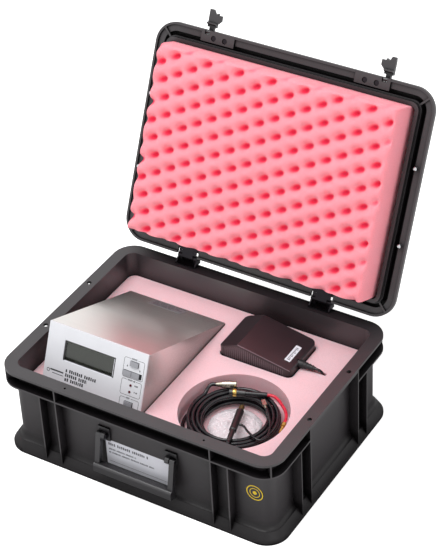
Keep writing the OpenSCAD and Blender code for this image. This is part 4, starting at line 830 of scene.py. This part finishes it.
class KIT_OT_hinges(bpy.types.Operator):
    """Hinge leaves, pins and screws"""

    bl_idname = "kit.hinges"
    bl_label = "Hinges"

    def execute(self, context):
        own_copy("hinge_leaves_base", "base_hinge_leaves", "base", "blackened steel", "hinge_steel", 0.25)
        own_copy("hinge_leaves_lid", "lid_hinge_leaves", "lid", "blackened steel", "hinge_steel", 0.25)
        refinish("blackened steel", "hinge_pins", "base_hinge_screws", "lid_hinge_screws")
        # A small web closes the slit behind each hinge's middle knuckle
        size = Matrix.Diagonal((17 * MM, 1.8 * MM, 3.4 * MM, 1))
        for name, x in (("left_hinge_web", -100.5), ("right_hinge_web", 100.5)):
            bpy.ops.object.select_all(action="DESELECT")
            bpy.ops.mesh.primitive_cube_add(size=1)
            web = place_with(named(name), Matrix.Translation(Vector((x, 152.6, 131.7)) * MM) @ size)
            round_edges(web, 0.2)
            shade(web)
            settle(web, "base", "blackened steel", "hinge_steel")
        return {"FINISHED"}


class KIT_OT_latches(bpy.types.Operator):
    """Latch blocks, latches and their pins"""

    bl_idname = "kit.latches"
    bl_label = "Latches"

    def execute(self, context):
        own_copy("latch_seats", "latch_blocks", "lid", "moulded polypropylene", "latch_plastic")
        own_copy("latch_left", "left_latch", "left_latch", "moulded nylon", "latch_plastic")
        own_copy("latch_right", "right_latch", "right_latch", "moulded nylon", "latch_plastic")
        refinish("zinc-plated steel", "latch_pins")
        refinish("blackened steel", "latch_screws")
        return {"FINISHED"}


class KIT_OT_handle(bpy.types.Operator):
    """Carrying handle on its two brackets"""

    bl_idname = "kit.handle"
    bl_label = "Handle"

    def execute(self, context):
        own_copy("carrying_handle", "handle", "handle", "moulded nylon", "handle_plastic", 0.6, 3)
        own_copy("handle_lugs", "handle_brackets", "base", "moulded nylon", "handle_plastic")
        refinish("blackened steel", "handle_pins")
        return {"FINISHED"}


class KIT_OT_case_labels(bpy.types.Operator):
    """White label and yellow ring on the front wall"""

    bl_idname = "kit.case_labels"
    bl_label = "Case labels"

    def execute(self, context):
        wall = axes_at(Vector((0, WALL_Y, 0)), ACROSS, Vector((0, 0, 1)))
        label = Drawing("front_label")
        label.patch(-49, 13, 46, 66, 2)
        label.done(0.15, wall, "base", "label paper")
        marks = Drawing("front_label_marks")
        for y, width, height, seed in ((57.5, 58, 4.2, 3), (50, 40, 2.6, 8), (44.5, 66, 2.6, 5)):
            marks.words(-45, y, width, height, seed)
        for y in (21, 31):
            marks.patch(-45, y, 41, y + 0.4)
        marks.done(0.2, wall, "base", "label ink")
        ring = Drawing("yellow_ring")
        for share, line in ((1, 1.3), (0.62, 0.9), (0.24, 0)):
            ring.disc(165, 70, looks("case").sticker_radius * share, line)
        ring.done(0.15, wall, "base", "yellow vinyl")
        return {"FINISHED"}


# Foam


class KIT_OT_cut_foam(bpy.types.Operator):
    """Foam layer with its pockets on the foam pad"""

    bl_idname = "kit.cut_foam"
    bl_label = "Cut foam"

    def execute(self, context):
        for name, node in (("foam_layer", "cut_foam"), ("foam_bottom", "foam_pad")):
            piece = own_copy(name, node, "base", "cut polyurethane foam", "base_foam", 0.9, 3, 40)
        return {"FINISHED"}


class KIT_OT_lid_foam(bpy.types.Operator):
    """Convoluted foam in the lid"""

    bl_idname = "kit.lid_foam"
    bl_label = "Lid foam"

    def execute(self, context):
        values = looks("foam")
        half_x, half_y, face_z, back_z, step = 171.5, 124.2, -44.5, 42.9, 1.6
        count_x, count_y = round(2 * half_x / step), round(2 * half_y / step)
        # The pits stand where slanted rows cross. One pit is at pit_x, pit_y.
        turns = math.radians(-29.1), math.radians(73.3)
        first, second = (Vector((math.cos(a), math.sin(a))) for a in turns)
        pit_x, pit_y = 8.3, 7.6
        # Half lengths and widths of a pit and of the painted red shade in it
        pit_l, pit_w, red_l, red_w = 7.6, 5.6, 8, 4.4
        grid = Matrix(((first.x, second.x), (first.y, second.y))).inverted() * (1 / values.pitch)
        near = [(i, j) for i in (-1, 0, 1) for j in (-1, 0, 1)]
        points, pits = [], []
        for j in range(count_y + 1):
            for i in range(count_x + 1):
                x, y = -half_x + 2 * half_x * i / count_x, -half_y + 2 * half_y * j / count_y
                a, b = grid @ Vector((x - pit_x, y - pit_y))
                a, b = a - round(a), b - round(b)
                hollow = red = 0
                for k, m in near:
                    off = ((a - k) * first + (b - m) * second) * values.pitch
                    along, across = off.dot(first), off.cross(first)
                    hollow += math.exp(-((along / pit_l) ** 2) - (across / pit_w) ** 2)
                    red += math.exp(-((along / red_l) ** 2) - (across / red_w) ** 2)
                fade = min(1, (y + half_y + 3) / 9) * min(1, (half_x - x) / 9)
                brim = max(0, 1 - (y + half_y) / 4, 1 - (half_x - x) / 6)
                soft = 0.5 * noise.noise(Vector((x, y, 0)) / 30) + 10 * (1 - math.sqrt(1 - brim**2))
                points.append(Vector((x, y, face_z + soft + values.depth * hollow * fade)) * MM)
                pits.append(red * fade)
        row = count_x + 1
        corners = [j * row + i for j in range(count_y) for i in range(count_x)]
        piece = new_piece("lid_foam_sheet", points, [(c, c + row, c + row + 1, c + 1) for c in corners])
        depth = piece.data.attributes.new("pit", "FLOAT", "POINT")
        depth.data.foreach_set("value", pits)
        bpy.ops.object.mode_set(mode="EDIT")
        bpy.ops.mesh.select_all(action="DESELECT")
        bpy.ops.mesh.select_mode(type="EDGE")
        bpy.ops.mesh.select_non_manifold()
        bpy.ops.mesh.extrude_region_move()
        bpy.ops.transform.resize(value=(1, 1, 0), center_override=(0, 0, back_z * MM))
        bpy.ops.mesh.edge_face_add()
        bpy.ops.mesh.select_all(action="SELECT")
        bpy.ops.mesh.normals_make_consistent(inside=False)
        bpy.ops.object.mode_set(mode="OBJECT")
        place_with(piece, in_lid())
        shade(piece, 50)
        settle(piece, "lid", "convoluted polyurethane foam", "lid_foam", "lid_foam")
        return {"FINISHED"}


# Meter


def brush_map(piece):
    """A UV map whose first direction is the way that the sheet was brushed."""
    layer = piece.data.uv_layers.new(name="brush")
    for face in piece.data.polygons:
        side = abs(face.normal.x) > 0.7
        for i in face.loop_indices:
            x, y, z = piece.data.vertices[piece.data.loops[i].vertex_index].co
            layer.data[i].uv = (z, y) if side else (x, y - z)


class KIT_OT_meter_cover(bpy.types.Operator):
    """Brushed cover, chassis tray, feet and the rear of the meter"""

    bl_idname = "kit.meter_cover"
    bl_label = "Meter cover"

    def execute(self, context):
        for name, node, slot in (
            ("steel_cover", "meter_cover", "cover_steel"),
            ("steel_tray", "meter_chassis", "chassis_steel"),
            ("steel_rear", "rear_panel", "chassis_steel"),
        ):
            brush_map(own_copy(name, node, "meter", "brushed stainless steel", slot, 0.25))
        refinish("zinc-plated steel", "cover_screws")
        refinish("black rubber", "meter_feet")
        own_copy("input_connector", "input_socket", "meter", "nickel plate", "socket_metal", 0.2)
        own_copy("power_connector", "power_socket", "meter", "black ABS", "socket_plastic", 0.2)
        cover = axes_at(METER, ACROSS, -PANEL_OUT)
        label = Drawing("cover_label")
        label.patch(41, 168, 92, 187.5, 1)
        label.done(0.12, cover, "meter", "silver foil")
        marks = Drawing("cover_label_marks")
        for i, width in enumerate((30, 44, 38, 46)):
            marks.words(44, 171 + 4.2 * i, width, 2.2, 20 + i)
        marks.done(0.16, cover, "meter", "screen ink")
        return {"FINISHED"}


class KIT_OT_meter_panel(bpy.types.Operator):
    """Painted front panel with its printing"""

    bl_idname = "kit.meter_panel"
    bl_label = "Front panel"

    def execute(self, context):
        own_copy("painted_panel", "front_panel", "meter", "powder coat", "panel_metal", 0.3)
        line = looks("meter").line_width
        ink = Drawing("panel_boxes")
        for corners in ((113.3, -37, 143, -11.5), (113.7, -60, 143, -39.3), (114.8, -85, 142.7, -63)):
            ink.patch(*corners, 2.5, line)
        ink.patch(118.2, -23.4, 119.4, -21.2)
        ink.patch(136.8, -25.2, 138, -23)
        for x, y, width, height, seed in (
            (133.2, -46, 5, 2, 31),
            (133.6, -54.4, 4.6, 2, 34),
            (32.5, -59, 45.5, 4.4, 41),
            (32.5, -65, 32.5, 4.4, 43),
            (32.5, -71, 30.5, 4.4, 47),
        ):
            ink.words(x, y, width, height, seed)
        ink.patch(9.8, -62.6, 29.6, -60.8, 0.6)
        ink.patch(13, -66.2, 29.6, -65.4)
        ink.disc(7, -63.4, 2.4, 0.8)
        ink.done(0.08, on_panel(), "meter", "screen ink")
        heads = ((124, 132, -11.5), (123, 133.6, -39.5), (124, 130, -63))
        gaps = Drawing("panel_header_gaps")
        for left, right, y in heads:
            gaps.patch(left - 0.8, y - 1.4, right + 0.8, y + 1.4)
        gaps.done(0.1, on_panel(), "meter", "panel white")
        words = Drawing("panel_headers")
        for i, (left, right, y) in enumerate(heads):
            words.words(left, y - 1, right - left, 2, 50 + i)
        words.done(0.14, on_panel(), "meter", "screen ink")
        return {"FINISHED"}


class KIT_OT_display(bpy.types.Operator):
    """Display with its bezel, window and board"""

    bl_idname = "kit.display"
    bl_label = "Display"

    def execute(self, context):
        own_copy("display_frame", "display_bezel", "meter", "black ABS", "bezel", 0.25)
        own_copy("liquid_crystal_cell", "display_module", "meter", "display glass", "display_cell", 0.2)
        own_copy("window_pane", "display_window", "meter", "clear acrylic", "window", 0.1)
        # Painted highlight: thin white strips along the bezel's lower and right edges.
        glint = Drawing("bezel_glint")
        glint.patch(28, -45.1, 98.8, -44.3)
        glint.patch(99, -43.6, 99.7, -20)
        glint.done(0.05, on_panel(-0.8), "meter", "label paper")
        refinish("solder mask", "display_board", "main_board")
        refinish("turned brass", "board_standoffs", "main_board_pillars")
        own_copy("screening_can", "input_shield", "meter", "tinned steel", "shield_tin")
        return {"FINISHED"}


class KIT_OT_controls(bpy.types.Operator):
    """Buttons, slide switch and indicator lamps"""

    bl_idname = "kit.controls"
    bl_label = "Controls"

    def execute(self, context):
        own_copy("button_upper", "upper_button", "upper_button", "grey ABS", "button", 0.35, 3)
        own_copy("button_lower", "lower_button", "lower_button", "grey ABS", "button", 0.35, 3)
        own_copy("switch_knob", "slide_switch", "slide_switch", "grey ABS", "switch", 0.2)
        own_copy("lamp_domes", "indicator_lamps", "meter", "lamp epoxy", "lamp", 0.15)
        return {"FINISHED"}


# Adapter


class KIT_OT_adapter(bpy.types.Operator):
    """Mains adapter with its label, socket and strain relief"""

    bl_idname = "kit.adapter"
    bl_label = "Adapter"

    def execute(self, context):
        parts = ("adapter_lid", "adapter_top", "adapter", "adapter ABS", "adapter_plastic")
        upper = own_copy(*parts, 0.3, 2, 25, 1)
        # The rounded edges take a painted highlight.
        upper.data.materials.append(finish("worn ABS edge"))
        own_copy("adapter_base", "adapter_bottom", "adapter", "adapter ABS", "adapter_plastic", 0.5, 3)
        own_copy("mains_socket", "adapter_inlet", "adapter", "black ABS", "socket_plastic", 0.15)
        own_copy("lead_relief", "adapter_strain_relief", "adapter", "black rubber", "relief_rubber", 0.15)
        refinish("varnished laminations", "adapter_transformer")
        refinish("black rubber", "adapter_plug")
        # Heights of the housing at its left end, its ridge and its right end
        ridge_x, end_x, left_z, ridge_z, end_z = 28, 105, 41.7, 52.7, 38.7
        down = Vector((end_x - ridge_x, 0, end_z - ridge_z)).normalized()
        slope = axes_at(ADAPTER + Vector((ridge_x, 0, ridge_z)), down, Vector((0, 1, 0)))
        front = axes_at(ADAPTER, ACROSS, Vector((0, 0, 1)))
        label = Drawing("adapter_label")
        label.patch(61, 15, 69, 47, 0.5)
        label.done(0.12, slope, "adapter", "label paper")
        marks = Drawing("adapter_label_marks")
        for i in range(11):
            marks.patch(63, 18 + 2.4 * i, 67.4 - 0.8 * (i % 3), 19.1 + 2.4 * i)
        marks.done(0.16, slope, "adapter", "label ink")
        # Painted highlight: light stripes on the front face stand in for the light on its ribs.
        groove_highlights = Drawing("adapter_grooves")
        for i in range(29):
            x = 9.5 + 3 * i
            if x < ridge_x:
                top = left_z + (ridge_z - left_z) * x / ridge_x
            else:
                top = ridge_z + (end_z - ridge_z) * (x - ridge_x) / (end_x - ridge_x)
            groove_highlights.patch(x, 23, x + 1.1, top - 3)
        groove_highlights.done(0.05, front, "adapter", "grooved ABS")
        # Painted highlight: a light strip along the front edge of the top's right slope.
        painted_light = Drawing("adapter_worn_edge")
        painted_light.patch(0.3, 0.4, 77, 1.5, 0.4)
        painted_light.done(0.05, slope, "adapter", "worn ABS edge")
        return {"FINISHED"}


# Probe and small parts


class KIT_OT_probe(bpy.types.Operator):
    """Probe, plugs and clips of the measuring cable"""

    bl_idname = "kit.probe"
    bl_label = "Probe and plugs"

    def execute(self, context):
        own_copy("probe_grip", "probe_handle", "cable_set", "black ABS", "probe_plastic", 0.3)
        own_copy("lead_grip", "lead_plug", "cable_set", "black ABS", "socket_plastic", 0.2)
        own_copy("lead_boot", "lead_sleeve", "cable_set", "glossy PVC", "cable_black", 0.2)
        bpy.ops.object.select_all(action="DESELECT")
        bpy.ops.mesh.primitive_cylinder_add(
            vertices=48, radius=5.1 * MM, depth=4.6 * MM, end_fill_type="NOTHING"
        )
        ring = named("plug_ring")
        modify(ring, "SOLIDIFY", thickness=0.5 * MM, offset=-1)
        round_edges(ring, 0.15)
        along = (SLEEVE_TO - PLUG_FROM).normalized()
        turn = along.to_track_quat("Z", "Y").to_matrix().to_4x4()
        place_with(ring, Matrix.Translation((POCKET + PLUG_FROM + 7 * along) * MM) @ turn)
        shade(ring)
        settle(ring, "cable_set", "turned brass", "contact_brass")
        refinish("tarnished brass", "probe_tip")
        refinish("nickel plate", "coax_connector", "earth_clip")
        refinish("turned brass", "red_lead_end")
        return {"FINISHED"}


class KIT_OT_bag(bpy.types.Operator):
    """Crumpled film bag in the middle of the coil"""

    bl_idname = "kit.bag"
    bl_label = "Film bag"

    def execute(self, context):
        bpy.ops.object.select_all(action="DESELECT")
        bpy.ops.mesh.primitive_ico_sphere_add(subdivisions=5, radius=1, location=(0, 0, 0))
        piece = named("film_bag")
        radius = 36
        for point in piece.data.vertices:
            at = point.co.copy()
            edge = 0.93 + 0.07 * noise.noise(at * 2.3 + Vector((3, 1, 0)))
            folds = noise.voronoi(at * 3.1)[0]
            crease = min(folds[1] - folds[0], 0.5) * 2
            fine = noise.voronoi(at * 7.3)[0]
            small = min(fine[1] - fine[0], 0.4) * 2.5
            height = max(at.z, -0.12)
            lift = 6.2 + (4.3 * crease * 0.6 + 0.9 * small) * max(height, 0)
            point.co = (at.x * radius * edge * MM, at.y * radius * edge * MM, (1 + height * lift) * MM)
        place_with(piece, Matrix.Translation((POCKET + Vector((0, 0, 0.6))) * MM))
        shade(piece, 18)
        settle(piece, "cable_set", "polyethylene film", "bag_film", "accessory_bag")
        return {"FINISHED"}


OPERATORS = (
    KIT_OT_stage,
    KIT_OT_measuring_cable,
    KIT_OT_adapter_cable,
    KIT_OT_small_leads,
    KIT_OT_case,
    KIT_OT_hinges,
    KIT_OT_latches,
    KIT_OT_handle,
    KIT_OT_case_labels,
    KIT_OT_cut_foam,
    KIT_OT_lid_foam,
    KIT_OT_meter_cover,
    KIT_OT_meter_panel,
    KIT_OT_display,
    KIT_OT_controls,
    KIT_OT_adapter,
    KIT_OT_probe,
    KIT_OT_bag,
)


class KIT_PT_panel(bpy.types.Panel):
    bl_idname = "KIT_PT_panel"
    bl_label = "Voltmeter kit"
    bl_space_type = "VIEW_3D"
    bl_region_type = "UI"
    bl_category = "Voltmeter"

    def draw(self, context):
        for key, group in LOOKS.items():
            box = self.layout.box()
            for name in group.__annotations__:
                box.prop(getattr(context.scene, key), name)
        for operator in OPERATORS:
            self.layout.operator(operator.bl_idname)


def register():
    for group in LOOKS.values():
        bpy.utils.register_class(group)
    for operator in OPERATORS:
        bpy.utils.register_class(operator)
    bpy.utils.register_class(KIT_PT_panel)
    for key, group in LOOKS.items():
        setattr(bpy.types.Scene, key, PointerProperty(type=group))


def unregister():
    for key in LOOKS:
        delattr(bpy.types.Scene, key)
    bpy.utils.unregister_class(KIT_PT_panel)
    for made in (*OPERATORS, *LOOKS.values()):
        bpy.utils.unregister_class(made)


def main():
    register()
    for operator in OPERATORS:
        group, name = operator.bl_idname.split(".")
        getattr(getattr(bpy.ops, group), name)()


if __name__ == "__main__":
    main()
